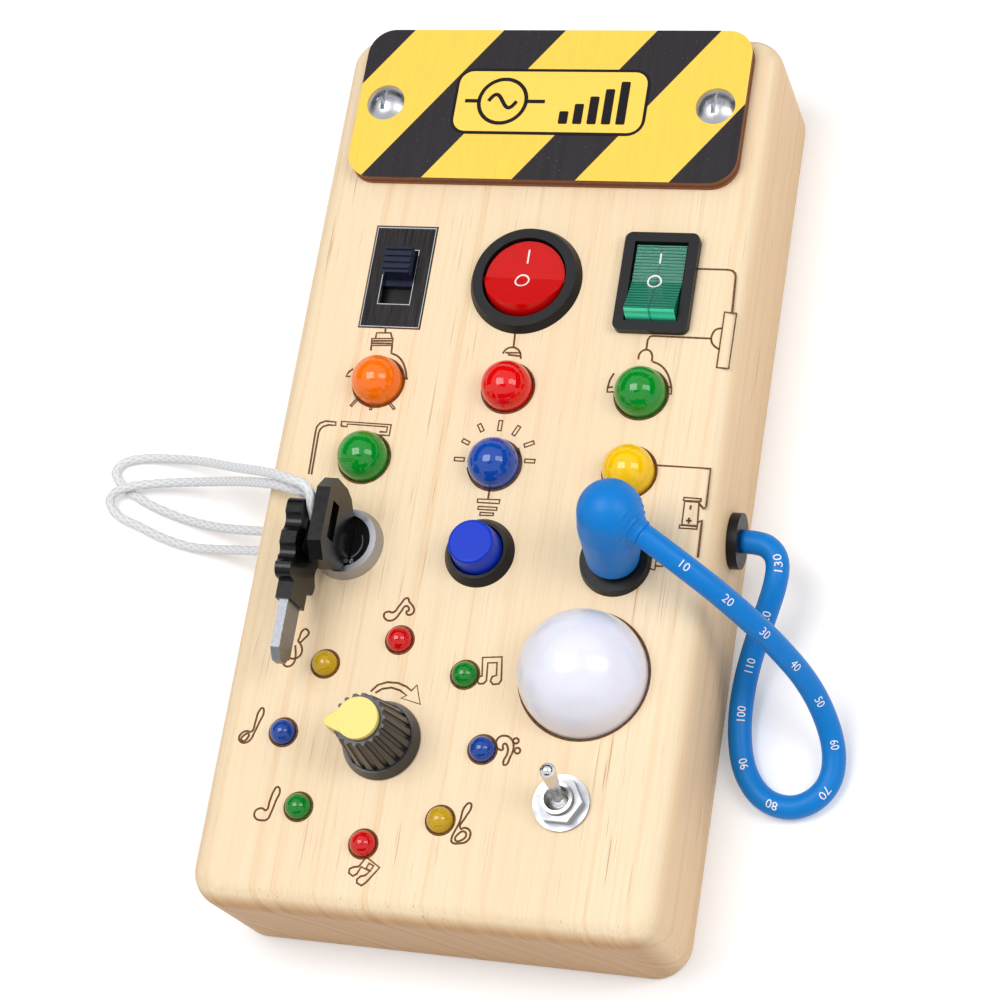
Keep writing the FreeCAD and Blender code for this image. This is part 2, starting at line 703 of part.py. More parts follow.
def make_square_rocker():
    top = FRONT + " + rocker_bezel_rise"
    bezel = block(RIGHT, "switch_row", FRONT, top, "square_bezel_width", "square_bezel_length")
    bezel = fillet(bezel, mm.square_bezel_radius, is_vertical)
    barrel = block(RIGHT, "switch_row", FRONT + " - rocker_depth", FRONT + " + 0.1", "square_barrel_width",
                   "square_barrel_length")
    bore = block(RIGHT, "switch_row", FRONT + " - rocker_depth + rocker_floor", top + " + 1",
                 "square_opening_width", "square_opening_length")
    reach = "(square_opening_width / 2 + rocker_pin_length)"
    pin_hole = rod_x("(%s - %s)" % (RIGHT, reach), "switch_row", PIVOT_Z,
                     "(rocker_pin_radius + gap_run)", "2 * " + reach)
    node(cut(fuse(bezel, barrel), bore, pin_hole), "square_rocker_housing")
    x, y, z = number(RIGHT), number("switch_row"), number(PIVOT_Z)
    half = mm.square_opening_width / 2 - mm.gap_move
    drum_radius = mm.square_opening_length / 2 - mm.gap_move
    drum = Part.makeCylinder(drum_radius, 2 * half, Vector(x - half, y, z), Vector(1, 0, 0))
    button = drum.common(rocker_wedge(x, half))
    shaped("square_rocker_button", button.fuse(rocker_pins(x, half)))


def lamp(x, y, radius, flange_radius, flange_thick, rise):
    """A lamp pushed through the panel from behind, with two legs down to the circuit board."""
    crown = "(%s + %s - %s)" % (FRONT, rise, radius)
    barrel = disc(x, y, PANEL_BACK + " - " + flange_thick, crown, radius)
    flange = disc(x, y, PANEL_BACK + " - " + flange_thick, PANEL_BACK, flange_radius)
    legs = [block("(%s %s lamp_leg_spacing / 2)" % (x, sign), y, CIRCUIT_TOP,
                  PANEL_BACK + " - %s + 0.2" % flange_thick, "lamp_leg", "lamp_leg") for sign in "-+"]
    return fuse(barrel, flange, ball(x, y, crown, radius), *legs)


def make_lamps():
    big = ("lamp_radius", "lamp_flange_radius", "lamp_flange_thick", "lamp_rise")
    low_row = "(lamp_row - lamp_pitch)"
    singles = {"lamp_orange": (LEFT, "lamp_row"), "lamp_red": (MIDDLE, "lamp_row"),
               "lamp_blue": (MIDDLE, low_row), "lamp_yellow": (RIGHT, low_row)}
    for name, (x, y) in singles.items():
        node(lamp(x, y, *big), name)
    greens = doc.addObject("Part::Compound", "GreenLamps")
    greens.Links = [lamp(RIGHT, "lamp_row", *big), lamp(LEFT, low_row, *big)]
    node(greens, "lamps_green")
    small = ("ring_lamp_radius", "ring_lamp_flange", "ring_flange_thick", "ring_lamp_rise")
    colours = ["blue", "green", "red", "yellow"]
    places = ring_places()
    for i, colour in enumerate(colours):
        pair = doc.addObject("Part::Compound", "Ring_" + colour)
        pair.Links = [lamp("(%s)" % x, "(%s)" % y, *small) for x, y in places[i::len(colours)]]
        node(pair, "ring_lamps_" + colour)


def make_circuits():
    """Two circuit boards hung under the panel on spacers and screws."""
    main = block("column_centre", "(lamp_row - lamp_pitch / 2)", CIRCUIT_BOTTOM, CIRCUIT_TOP,
                 "main_circuit_width", "main_circuit_length")
    hole = "(board_screw_radius + gap_fit)"
    places = spacer_places()
    ring_count = int(mm.spacer_count)
    drill = (CIRCUIT_BOTTOM + " - 1", CIRCUIT_TOP + " + 1", hole)
    node(cut(main, *[disc(x, y, *drill) for x, y in places[ring_count:]]), "main_circuit_board")
    ring = disc("knob_column", "knob_row", CIRCUIT_BOTTOM, CIRCUIT_TOP, "ring_circuit_radius")
    bore = disc("knob_column", "knob_row", CIRCUIT_BOTTOM + " - 1", CIRCUIT_TOP + " + 1", "ring_circuit_bore")
    node(cut(ring, bore, *[disc(x, y, *drill) for x, y in places[:ring_count]]), "ring_circuit_board")
    spacers, screws = [], []
    for x, y in places:
        spacers.append(cut(disc(x, y, CIRCUIT_TOP, PANEL_BACK, "spacer_radius"),
                           disc(x, y, CIRCUIT_TOP + " - 1", PANEL_BACK + " + 1", "spacer_bore")))
        screws.append(fuse(disc(x, y, CIRCUIT_BOTTOM + " - board_screw_head_thick", CIRCUIT_BOTTOM,
                                "board_screw_head"),
                           disc(x, y, CIRCUIT_BOTTOM + " - 0.1", PANEL_BACK + " + board_screw_bite",
                                "board_screw_radius")))
    for name, parts in (("board_spacers", spacers), ("board_screws", screws)):
        group = doc.addObject("Part::Compound", name + "_group")
        group.Links = parts
        node(group, name)


def make_panel_nuts():
    """Alike nuts behind the panel, on the three threaded barrels."""
    nuts = []
    for x in (LEFT, MIDDLE, RIGHT):
        nuts.append(cut(hexagon(x, "lock_row", PANEL_BACK + " - nut_thick", PANEL_BACK, "nut_flats"),
                        disc(x, "lock_row", PANEL_BACK + " - nut_thick - 1", PANEL_BACK + " + 1",
                             "(barrel_radius + gap_run)")))
    group = doc.addObject("Part::Compound", "PanelNuts")
    group.Links = nuts
    node(group, "panel_nuts")


def make_lock():
    """Chrome barrel with a black rotor, and the key blade in the rotor's slot."""
    top = FRONT + " + lock_ring_rise"
    ring = cone(LEFT, "lock_row", FRONT, top, "lock_ring_radius", "(lock_ring_radius - 0.8)")
    barrel = disc(LEFT, "lock_row", FRONT + " - barrel_depth", FRONT + " + 0.1", "barrel_radius")
    bore = disc(LEFT, "lock_row", FRONT + " - barrel_depth + barrel_floor", top + " + 1", "lock_bore_radius")
    node(cut(fuse(ring, barrel), bore), "lock_body")
    rotor_top = "(board_thick + lock_ring_rise - lock_rotor_sunk)"
    rotor = disc(LEFT, "lock_row", rotor_top + " - lock_rotor_length", rotor_top,
                 "(lock_bore_radius - gap_run)")
    slot = block(LEFT, "lock_row", rotor_top + " - blade_depth - 0.5", rotor_top + " + 1", "key_slot_width",
                 "key_slot_length")
    node(cut(rotor, slot), "lock_rotor")
    neck_low = "(board_thick + lock_ring_rise - lock_rotor_sunk + gap_fit)"
    blade = block(LEFT, "lock_row", rotor_top + " - blade_depth", neck_low + " + 1.5", "blade_thick",
                  "blade_width")
    blade_hole = block(LEFT, "lock_row", neck_low + " - 1", neck_low + " + 1.5", "blade_thick", "blade_width")
    node(blade, "lock_key_blade")
    head = lock_key_head(number(LEFT), number("lock_row"), number(neck_low))
    doc.recompute()
    shaped("lock_key_head", head.cut(blade_hole.Shape))
    doc.removeObject(blade_hole.Name)


def lock_key_head(x, y, low):
    """Plate across X: a narrow neck in the lock ring that flares into the grip, with a slot for the cord."""
    half, neck = mm.key_head_width / 2, mm.key_neck_width / 2
    shoulder = low + mm.key_neck_height
    high = shoulder + mm.key_head_height
    cut_corner = mm.key_head_height / 4
    side = x - mm.key_head_thick / 2
    clear = low + mm.key_neck_height / 3
    outline = [Vector(side, y - neck, clear), Vector(side, y - neck, low), Vector(side, y + neck, low),
               Vector(side, y + neck, clear), Vector(side, y + half - 1, shoulder),
               Vector(side, y + half, shoulder + cut_corner), Vector(side, y + half, high - cut_corner),
               Vector(side, y + half - cut_corner, high), Vector(side, y - half + cut_corner, high),
               Vector(side, y - half, high - cut_corner), Vector(side, y - half, shoulder + cut_corner),
               Vector(side, y - half + 1, shoulder)]
    plate = Part.Face(Part.makePolygon(outline + outline[:1])).extrude(Vector(mm.key_head_thick, 0, 0))
    slot = Part.makeBox(mm.key_head_thick + 2, mm.key_hole_length, mm.key_hole_width,
                        Vector(side - 1, y - mm.key_hole_length / 2, high - mm.key_hole_width - 2.6))
    return plate.cut(slot)


SPARE_X = "(column_centre - column_pitch - spare_offset)"


def make_spare_key():
    """Second key on the cord: scalloped head on edge, blade down along the board."""
    x = number(SPARE_X) - mm.spare_head_thick / 2
    top_y = mm.lock_row + mm.spare_top
    low = mm.board_thick + mm.spare_rise
    high = low + mm.spare_head_width
    end_y = top_y - mm.spare_head_length
    head = Part.makeBox(mm.spare_head_thick, mm.spare_head_length, mm.spare_head_width, Vector(x, end_y, low))
    corners = [edge for edge in head.Edges
               if abs(edge.Vertexes[0].X - edge.Vertexes[-1].X) > mm.spare_head_thick / 2]
    head = head.makeFillet(2.0, corners)
    neck_low = low + (mm.spare_head_width - mm.spare_neck_width) / 2
    neck = Part.makeBox(mm.spare_head_thick, mm.spare_neck_length + 1, mm.spare_neck_width,
                        Vector(x, end_y - mm.spare_neck_length, neck_low))
    grip = head.fuse(neck)
    for share in (0.33, 0.72):
        for z in (low - mm.scallop_radius + mm.scallop_depth, high + mm.scallop_radius - mm.scallop_depth):
            centre = Vector(x - 1, top_y - share * mm.spare_head_length, z)
            grip = grip.cut(Part.makeCylinder(mm.scallop_radius, mm.spare_head_thick + 2,
                                              centre, Vector(1, 0, 0)))
    hole_y = top_y - 2.2 - mm.key_hole_length
    hole_z = high - mm.key_hole_width - 4.2
    grip = grip.cut(Part.makeBox(mm.spare_head_thick + 2, mm.key_hole_length, mm.key_hole_width,
                                 Vector(x - 1, hole_y, hole_z)))
    blade_low = low + (mm.spare_head_width - mm.spare_blade_width) / 2
    blade_x = number(SPARE_X) - mm.blade_thick / 2
    blade = Part.makeBox(mm.blade_thick, mm.spare_blade_length + 2, mm.spare_blade_width,
                         Vector(blade_x, end_y - mm.spare_neck_length - mm.spare_blade_length, blade_low))
    tip = [edge for edge in blade.Edges if edge.BoundBox.YMax < end_y - mm.spare_neck_length - 1
           and edge.BoundBox.XLength > 1]
    blade = blade.makeChamfer(2.0, tip)
    shaped("spare_key_head", grip.cut(blade))
    shaped("spare_key_blade", blade)


def make_push_button():
    """Bevelled bezel on a threaded barrel, a sprung blue cap and its spring."""
    top = FRONT + " + button_bezel_rise"
    bezel = cone(MIDDLE, "lock_row", FRONT, top, "button_bezel_radius", "button_bezel_top")
    barrel = disc(MIDDLE, "lock_row", FRONT + " - barrel_depth", FRONT + " + 0.1", "barrel_radius")
    floor = "(board_thick - barrel_depth + barrel_floor)"
    bore = disc(MIDDLE, "lock_row", floor, top + " + 1", "button_bore_radius")
    node(cut(fuse(bezel, barrel), bore), "push_button_bezel")
    cap_low = "(board_thick - button_cap_skirt)"
    cap_top = "(board_thick + button_bezel_rise + button_cap_rise)"
    skirt = disc(MIDDLE, "lock_row", cap_low, top, "button_cap_radius")
    crown = cone(MIDDLE, "lock_row", top, cap_top, "button_cap_radius", "button_cap_top")
    cap = fillet(fuse(skirt, crown), 0.6, lies_at(number(cap_top)))
    node(cap, "push_button_cap")
    coil = disc(MIDDLE, "lock_row", floor, cap_low + " - gap_move", "button_spring_outer")
    hollow = disc(MIDDLE, "lock_row", floor + " - 1", cap_low, "button_spring_inner")
    node(cut(coil, hollow), "push_button_spring")


def make_socket_and_grommet():
    """Round socket for the hose plug, and the rubber grommet in the right-hand side."""
    top = FRONT + " + socket_base_rise"
    base = cone(RIGHT, "lock_row", FRONT, top, "socket_base_radius", "socket_base_top")
    barrel = disc(RIGHT, "lock_row", FRONT + " - barrel_depth", FRONT + " + 0.1", "barrel_radius")
    bore = disc(RIGHT, "lock_row", FRONT + " - barrel_depth + barrel_floor", top + " + 1",
                "(plug_pin_radius + gap_run)")
    node(cut(fuse(base, barrel), bore), "hose_socket")
    side = "board_width / 2"
    flange = rod_x(side, "grommet_row", "grommet_height", "grommet_flange", "grommet_rise")
    through = rod_x("(%s - wall_thick - 0.1)" % side, "grommet_row", "grommet_height", "grommet_barrel",
                    "wall_thick + 0.2")
    inner = rod_x("(%s - wall_thick - grommet_inner_thick)" % side, "grommet_row", "grommet_height",
                  "grommet_inner_flange", "grommet_inner_thick")
    bore = rod_x("(%s - wall_thick - 3)" % side, "grommet_row", "grommet_height", "(wire_radius * 2)",
                 "wall_thick + 1")
    node(cut(fuse(flange, through, inner), bore), "hose_grommet")


def boot_top():
    return Vector(number(RIGHT) + mm.boot_lean_x, mm.lock_row + mm.boot_lean_y,
                  mm.board_thick + mm.boot_height)


def hose_start():
    way = Vector(*HOSE_ROUTE[0]) - boot_top()
    way.normalize()
    return boot_top() + way * mm.boot_collar, way


def make_plug():
    """Blue boot: a leaning taper with a round top and stepped rings where the hose leaves."""
    base = Vector(number(RIGHT), mm.lock_row, mm.board_thick)
    top = boot_top()
    lean = top - base
    taper = Part.makeCone(mm.boot_base_radius, mm.boot_top_radius, lean.Length, base, lean)
    boot = taper.fuse(Part.makeSphere(mm.boot_top_radius, top))
    start, way = hose_start()
    for i in range(int(mm.boot_ring_count)):
        ring_radius = mm.hose_radius + (mm.boot_ring_count - i) * mm.boot_ring_step
        reach = mm.boot_collar - mm.boot_ring_step * (mm.boot_ring_count - 1 - i)
        boot = boot.fuse(Part.makeCylinder(ring_radius, reach, top, way))
    foot = mm.board_thick + mm.socket_base_rise + mm.gap_move
    room = Part.makeBox(60, 60, 60, Vector(base.x - 30, base.y - 30, foot))
    boot = boot.common(room)
    pin_top = foot + 3
    pin = Part.makeCylinder(mm.plug_pin_radius, pin_top - (mm.board_thick - mm.plug_pin_depth),
                            Vector(base.x, base.y, mm.board_thick - mm.plug_pin_depth), Vector(0, 0, 1))
    shaped("plug_boot", boot.cut(pin))
    shaped("plug_pin", pin)


HOSE_ROUTE = [
    (45.0, -25.0, 41.2),
    (52.6, -29.0, 34.0),
    (59.0, -32.6, 24.0),
    (64.6, -37.0, 13.2),
    (68.2, -44.0, 5.0),
    (69.0, -50.8, 2.6),
    (66.6, -55.9, 2.5),
    (61.6, -58.6, 2.45),
    (55.6, -57.2, 2.5),
    (51.2, -51.6, 2.6),
    (49.5, -43.0, 3.6),
    (50.0, -34.4, 5.4),
    (51.9, -27.4, 8.6),
    (54.2, -21.6, 12.2),
    (55.5, -17.4, 14.4),
    (55.6, -13.6, 15.0),
    (54.2, -11.2, 15.0),
    (51.8, -9.8, 15.0),
]


def make_hose():
    """The free blue hose, from the plug's collar down over the edge, round a loop and into the grommet."""
    start, way = hose_start()
    end = Vector(mm.board_width / 2 + mm.grommet_rise, mm.grommet_row, mm.grommet_height)
    points = [start + way * mm.gap_move] + row_points(HOSE_ROUTE) + [end]
    solid, length, radii = tube(points, mm.hose_radius)
    report_tube("hose", solid, length, radii, mm.hose_radius)
    shaped("hose", solid)


def make_dome():
    """Milky dome pushed up through the panel, with a lamp on a holder behind it."""
    x, y = "dome_column", "dome_row"
    centre = "(board_thick + dome_centre_rise)"
    base = "(board_thick - panel_thick - dome_flange_thick)"
    outer = fuse(disc(x, y, base, centre, "dome_radius"), ball(x, y, centre, "dome_radius"),
                 disc(x, y, base, PANEL_BACK, "dome_flange_radius"))
    inner_radius = "(dome_radius - dome_wall)"
    inner = fuse(disc(x, y, base + " - 1", centre, inner_radius), ball(x, y, centre, inner_radius))
    below = block(x, y, "0", base, "(4 * dome_radius)", "(4 * dome_radius)")
    node(cut(outer, inner, below), "dome_lens")
    node(disc(x, y, base + " - dome_holder_thick", base, "dome_flange_radius"), "dome_holder")
    lamp_top = "(board_thick + 1)"
    node(fuse(disc(x, y, base, lamp_top, "ring_lamp_radius"), ball(x, y, lamp_top, "ring_lamp_radius"),
              disc(x, y, base, base + " + ring_flange_thick", "ring_lamp_flange")), "dome_lamp")


def make_toggle():
    """Toggle switch: body and bushing, washer, hexagon nut and a bat lever that leans up the board."""
    x, y = "toggle_column", "toggle_row"
    body = block(x, y, PANEL_BACK + " - toggle_body_depth", PANEL_BACK, "toggle_body_width", "toggle_body_length")
    bushing = disc(x, y, PANEL_BACK + " - 0.1", FRONT + " + bushing_rise", "bushing_radius")
    bore = disc(x, y, FRONT + " - 2", FRONT + " + bushing_rise + 1", "bushing_mouth")
    node(cut(fuse(body, bushing), bore), "toggle_body")
    hole = "(bushing_radius + gap_run)"
    washer_top = FRONT + " + toggle_washer_thick"
    node(cut(disc(x, y, FRONT, washer_top, "toggle_washer_radius"),
             disc(x, y, FRONT + " - 1", washer_top + " + 1", hole)), "toggle_washer")
    nut_top = washer_top + " + toggle_nut_thick"
    node(cut(hexagon(x, y, washer_top, nut_top, "toggle_nut_flats"),
             disc(x, y, FRONT, nut_top + " + 1", hole)), "toggle_nut")
    pivot = Vector(mm.toggle_column, mm.toggle_row, mm.board_thick + mm.toggle_pivot_rise)
    throw = math.radians(mm.toggle_throw)
    along = Vector(0, math.sin(throw), math.cos(throw))
    lever = Part.makeSphere(mm.toggle_ball_radius, pivot)
    lever = lever.fuse(Part.makeCone(mm.toggle_neck_radius, mm.toggle_tip_radius, mm.toggle_length, pivot, along))
    shaped("toggle_lever", lever.fuse(Part.makeSphere(mm.toggle_tip_radius, pivot + along * mm.toggle_length)))


def make_knob():
    """Fluted knob with a pointer cap, on the shaft of a potentiometer that is nutted to the panel."""
    x, y = "knob_column", "knob_row"
    body = disc(x, y, PANEL_BACK + " - pot_depth", PANEL_BACK, "pot_radius")
    bushing = disc(x, y, PANEL_BACK + " - 0.1", FRONT + " + pot_bushing_rise", "pot_bushing_radius")
    shaft_low = "(board_thick - panel_thick - pot_depth + 1.5)"
    bore = disc(x, y, shaft_low + " - gap_move", FRONT + " + pot_bushing_rise + 1", "(shaft_radius + gap_run)")
    node(cut(fuse(body, bushing), bore), "pot_body")
    node(cut(hexagon(x, y, FRONT, FRONT + " + pot_nut_thick", "pot_nut_flats"),
             disc(x, y, FRONT + " - 1", FRONT + " + pot_nut_thick + 1", "(pot_bushing_radius + gap_run)")),
         "pot_nut")
    node(disc(x, y, shaft_low, FRONT + " + shaft_top", "shaft_radius"), "pot_shaft")
    low = "(board_thick + gap_move)"
    skirt_top = "(board_thick + knob_skirt_rise)"
    top = "(board_thick + knob_height)"
    skirt = cone(x, y, low, skirt_top, "knob_skirt_radius", "(knob_skirt_radius - 0.7)")
    grip = cone(x, y, skirt_top, top, "knob_base_radius", "knob_top_radius")
    recess = disc(x, y, low + " - 1", low + " + knob_recess_depth", "knob_recess_radius")
    shaft_hole = disc(x, y, low, FRONT + " + shaft_top + gap_run", "(shaft_radius + gap_run)")
    plain = cut(fuse(skirt, grip), recess, shaft_hole)
    doc.recompute()
    fluted = plain.Shape
    foot = Vector(mm.knob_column, mm.knob_row, number(skirt_top))
    for i in range(int(mm.knob_flute_count)):
        turn = 2 * math.pi * i / mm.knob_flute_count
        out = Vector(math.cos(turn), math.sin(turn), 0)
        start = foot + out * mm.knob_base_radius
        run = Vector(mm.knob_column, mm.knob_row, number(top)) + out * mm.knob_top_radius - start
        fluted = fluted.cut(Part.makeCylinder(mm.knob_flute_radius, run.Length + 1, start, run))
    shaped("knob", fluted)
    make_knob_cap(number(top))


def make_knob_cap(top):
    """Pale disc on the knob's top, with a pointer that reaches the rim."""
    centre = Vector(mm.knob_column, mm.knob_row, top)
    cap = Part.makeCylinder(mm.knob_cap_radius, mm.knob_cap_rise, centre, Vector(0, 0, 1))
    arm = Part.makeBox(mm.knob_top_radius - 0.2, mm.knob_pointer_width, mm.knob_cap_rise * 0.8,
                       Vector(0, -mm.knob_pointer_width / 2, 0))
    arm.Placement = Placement(centre, Rotation(Vector(0, 0, 1), mm.knob_pointer_angle))
    shaped("knob_cap", cap.fuse(arm))


CORD_ROUTE = [
    (-43.2, -9.4, 37.8),
    (-46.6, -7.8, 34.0),
    (-57.4, -2.9, 22.0),
    (-70.1, 2.9, 9.0),
    (-79.7, 5.4, 2.7),
    (-86.7, 5.9, 1.1),
    (-91.8, 4.9, 1.1),
    (-94.0, 2.0, 1.1),
    (-90.6, -1.4, 1.1),
    (-85.5, -4.1, 1.1),
    (-80.2, -6.1, 1.2),
    (-74.5, -7.8, 1.6),
    (-67.6, -9.7, 4.0),
    (-58.2, -12.3, 10.4),
    (-48.6, -13.8, 15.0),
    (-36.3, -13.8, 15.0),
    (-35.1, -15.9, 15.0),
    (-36.3, -18.0, 15.0),
    (-48.6, -18.0, 15.0),
    (-57.6, -16.4, 9.6),
    (-65.5, -14.6, 3.8),
    (-71.1, -13.9, 1.6),
    (-76.3, -12.9, 1.1),
    (-81.2, -11.4, 1.2),
    (-86.0, -9.4, 1.1),
    (-90.4, -8.0, 1.2),
    (-93.0, -5.6, 1.8),
    (-92.4, -3.2, 2.8),
    (-88.6, -1.7, 3.5),
    (-83.4, -0.9, 3.6),
    (-76.6, -0.6, 4.8),
    (-67.4, -1.7, 9.2),
    (-57.2, -4.8, 19.0),
    (-47.0, -9.2, 31.0),
    (-41.1, -11.8, 37.8),
]
CORD_ON_KEY = [
    (-42.9, -9.6, 38.2),
    (-38.4, -11.6, 42.8),
    (-33.6, -14.0, 46.8),
    (-28.9, -15.5, 48.0),
    (-28.65, -19.2, 45.0),
    (-28.65, -20.7, 41.6),
    (-28.65, -20.3, 38.5),
    (-28.65, -18.3, 37.0),
    (-28.65, -16.4, 38.3),
    (-28.75, -16.0, 41.0),
    (-30.6, -15.5, 43.4),
    (-34.2, -14.7, 43.2),
    (-37.4, -13.4, 41.4),
    (-40.8, -12.0, 38.2),
]

WIRE_ROUTES = [
    [(-12.0, 49.2, 10.0), (-12.0, 40.0, 9.0), (-12.6, 28.0, 8.4), (-13.6, 18.0, 9.0), (-14.0, 14.0, 11.4),
     (-14.0, 14.0, 15.9)],
    [(-8.0, -4.0, 15.9), (-8.0, -4.0, 11.6), (-8.4, -8.6, 9.2), (-9.4, -19.0, 8.2), (-10.6, -29.0, 8.8),
     (-12.0, -36.0, 11.8), (-12.0, -36.0, 15.9)],
    [(37.4, -9.8, 15.0), (35.2, -9.7, 14.6), (32.8, -8.6, 12.6), (31.2, -6.9, 12.0), (31.0, -6.4, 12.6),
     (31.0, -6.4, 15.8)],
]


def make_cord():
    """White cord: out of one side hole, round the keys' loop and back into the other hole."""
    solid, length, radii = tube(row_points(CORD_ROUTE), mm.cord_radius)
    report_tube("key cord", solid, length, radii, mm.cord_radius)
    shaped("key_cord", solid)
    solid, length, radii = tube(row_points(CORD_ON_KEY), mm.cord_radius)
    report_tube("cord loop on the keys", solid, length, radii, mm.cord_radius)
    shaped("key_cord_loop", solid)


def make_wiring():
    """Wires from the battery holder, between the boards and in from the grommet."""
    wires = [tube(row_points(route), mm.wire_radius)[0] for route in WIRE_ROUTES]
    shaped("wiring", Part.makeCompound(wires))


def main():
    make_case()
    make_cover()
    make_batteries()
    make_hazard_plate()
    make_slide_switch()
    make_round_rocker()
    make_square_rocker()
    make_lamps()
    make_circuits()
    make_panel_nuts()
    make_lock()
    make_spare_key()
    make_push_button()
    make_socket_and_grommet()
    make_plug()
    make_hose()
    make_dome()
    make_toggle()
    make_knob()
    make_cord()
    make_wiring()
    doc.recompute()
    finish()


def finish():
    """Check every object and write one file for each sub-part."""
    bad = [item.Name for item in doc.Objects if {"Invalid", "Error"} & set(item.State)]
    bad += [item.Label for item in NODES if item.Shape.isNull() or not item.Shape.isValid()]
    if bad:
        raise SystemExit("Failed: " + ", ".join(bad))
    os.makedirs("parts", exist_ok=True)
    for item in NODES:
        item.Shape.exportStep("parts/%s.step" % item.Label)
    print("%d sub-parts" % len(NODES))


main()
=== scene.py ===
"""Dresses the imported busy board: finishes, burnt signs, plate emblem, marks, plug, cords and studio."""
import json
import math
import bmesh
import bpy
import numpy as np
from mathutils import Matrix, Vector

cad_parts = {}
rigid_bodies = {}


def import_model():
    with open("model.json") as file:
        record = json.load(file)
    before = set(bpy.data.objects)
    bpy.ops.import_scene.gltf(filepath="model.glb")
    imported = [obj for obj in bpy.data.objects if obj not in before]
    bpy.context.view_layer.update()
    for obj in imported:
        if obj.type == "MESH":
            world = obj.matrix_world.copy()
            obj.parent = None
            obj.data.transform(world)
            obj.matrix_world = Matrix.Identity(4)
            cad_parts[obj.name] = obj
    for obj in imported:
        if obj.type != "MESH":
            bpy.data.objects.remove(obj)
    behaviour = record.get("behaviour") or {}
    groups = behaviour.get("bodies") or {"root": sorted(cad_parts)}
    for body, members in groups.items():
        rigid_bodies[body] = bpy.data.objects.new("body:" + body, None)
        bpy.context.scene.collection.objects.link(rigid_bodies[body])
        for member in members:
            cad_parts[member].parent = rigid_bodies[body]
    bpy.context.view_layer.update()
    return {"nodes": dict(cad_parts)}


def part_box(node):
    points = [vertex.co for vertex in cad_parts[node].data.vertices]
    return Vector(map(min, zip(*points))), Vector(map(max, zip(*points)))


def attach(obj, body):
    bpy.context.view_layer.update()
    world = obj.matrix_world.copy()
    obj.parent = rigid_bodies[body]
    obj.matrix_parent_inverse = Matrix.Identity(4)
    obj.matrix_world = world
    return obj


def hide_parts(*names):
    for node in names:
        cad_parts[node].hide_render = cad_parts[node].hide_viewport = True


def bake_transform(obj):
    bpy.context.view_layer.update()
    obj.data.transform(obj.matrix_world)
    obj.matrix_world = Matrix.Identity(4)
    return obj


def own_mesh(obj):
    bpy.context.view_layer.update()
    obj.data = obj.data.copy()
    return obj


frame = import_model()

bl_info = {
    "name": "Wooden Busy Board Dresser",
    "version": (1, 0, 0),
    "blender": (4, 5, 0),
    "location": "View3D > Sidebar > Busy Board",
    "description": "Adds finishes, burnt signs, an emblem, marks, plug and cords to a wooden busy board",
    "category": "Add Mesh",
}

MM = 0.001
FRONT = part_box("wooden_case")[1].z
PLATE_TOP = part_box("hazard_plate")[1].z

# Middles of the knob and of the lock on the front face, in millimetres
KNOB_AXIS = (-12.0, -59.2)
LOCK_AXIS = (-26.1, -20.7)

# Half widths of the slim rectangles that stand for rays, in millimetres
HALF_RAY = {"frame": 0.36, "bar": 0.198}

# Edges that turn by more than this stay sharp
SHARP_TURN = math.radians(35)

# Share of the cord's radius between the braid's strands and its hollows
BRAID_DEPTH = 0.12

# Height from which marks are dropped onto a node
DROP_HEIGHT = 0.2

# Routes of the cords, in metres, the control points of one smooth line each
HOSE_ROUTE = [
    (0.03584, -0.01993, 0.04541), (0.0450, -0.0250, 0.0412), (0.0526, -0.0290, 0.0340),
    (0.0590, -0.0326, 0.0240), (0.0646, -0.0370, 0.0132), (0.0682, -0.0440, 0.0050),
    (0.0690, -0.0508, 0.0026), (0.0666, -0.0559, 0.0025), (0.0616, -0.0586, 0.00245),
    (0.0556, -0.0572, 0.0025), (0.0512, -0.0516, 0.0026), (0.0495, -0.0430, 0.0036),
    (0.0500, -0.0344, 0.0054), (0.0519, -0.0274, 0.0086), (0.0542, -0.0216, 0.0122),
    (0.0555, -0.0174, 0.0144), (0.0556, -0.0136, 0.0150), (0.0542, -0.0112, 0.0150),
    (0.0518, -0.0098, 0.0150), (0.0480, -0.0098, 0.0150)]
KEY_CORD_ROUTE = [
    (-0.0432, -0.0094, 0.0378), (-0.0466, -0.0078, 0.0340), (-0.0574, -0.0029, 0.0220),
    (-0.0701, 0.0029, 0.0090), (-0.0797, 0.0054, 0.0027), (-0.0867, 0.0059, 0.0011),
    (-0.0918, 0.0049, 0.0011), (-0.0940, 0.0020, 0.0011), (-0.0906, -0.0014, 0.0011),
    (-0.0855, -0.0041, 0.0011), (-0.0802, -0.0061, 0.0012), (-0.0745, -0.0078, 0.0016),
    (-0.0676, -0.0097, 0.0040), (-0.0582, -0.0123, 0.0104), (-0.0486, -0.0138, 0.0150),
    (-0.0363, -0.0138, 0.0150), (-0.0351, -0.0159, 0.0150), (-0.0363, -0.0180, 0.0150),
    (-0.0486, -0.0180, 0.0150), (-0.0576, -0.0164, 0.0096), (-0.0655, -0.0146, 0.0038),
    (-0.0711, -0.0139, 0.0016), (-0.0763, -0.0129, 0.0011), (-0.0812, -0.0114, 0.0012),
    (-0.0860, -0.0094, 0.0011), (-0.0904, -0.0080, 0.0012), (-0.0930, -0.0056, 0.0018),
    (-0.0924, -0.0032, 0.0028), (-0.0886, -0.0017, 0.0035), (-0.0834, -0.0009, 0.0036),
    (-0.0766, -0.0006, 0.0048), (-0.0674, -0.0017, 0.0092), (-0.0572, -0.0048, 0.0190),
    (-0.0470, -0.0092, 0.0310), (-0.0411, -0.0118, 0.0378)]
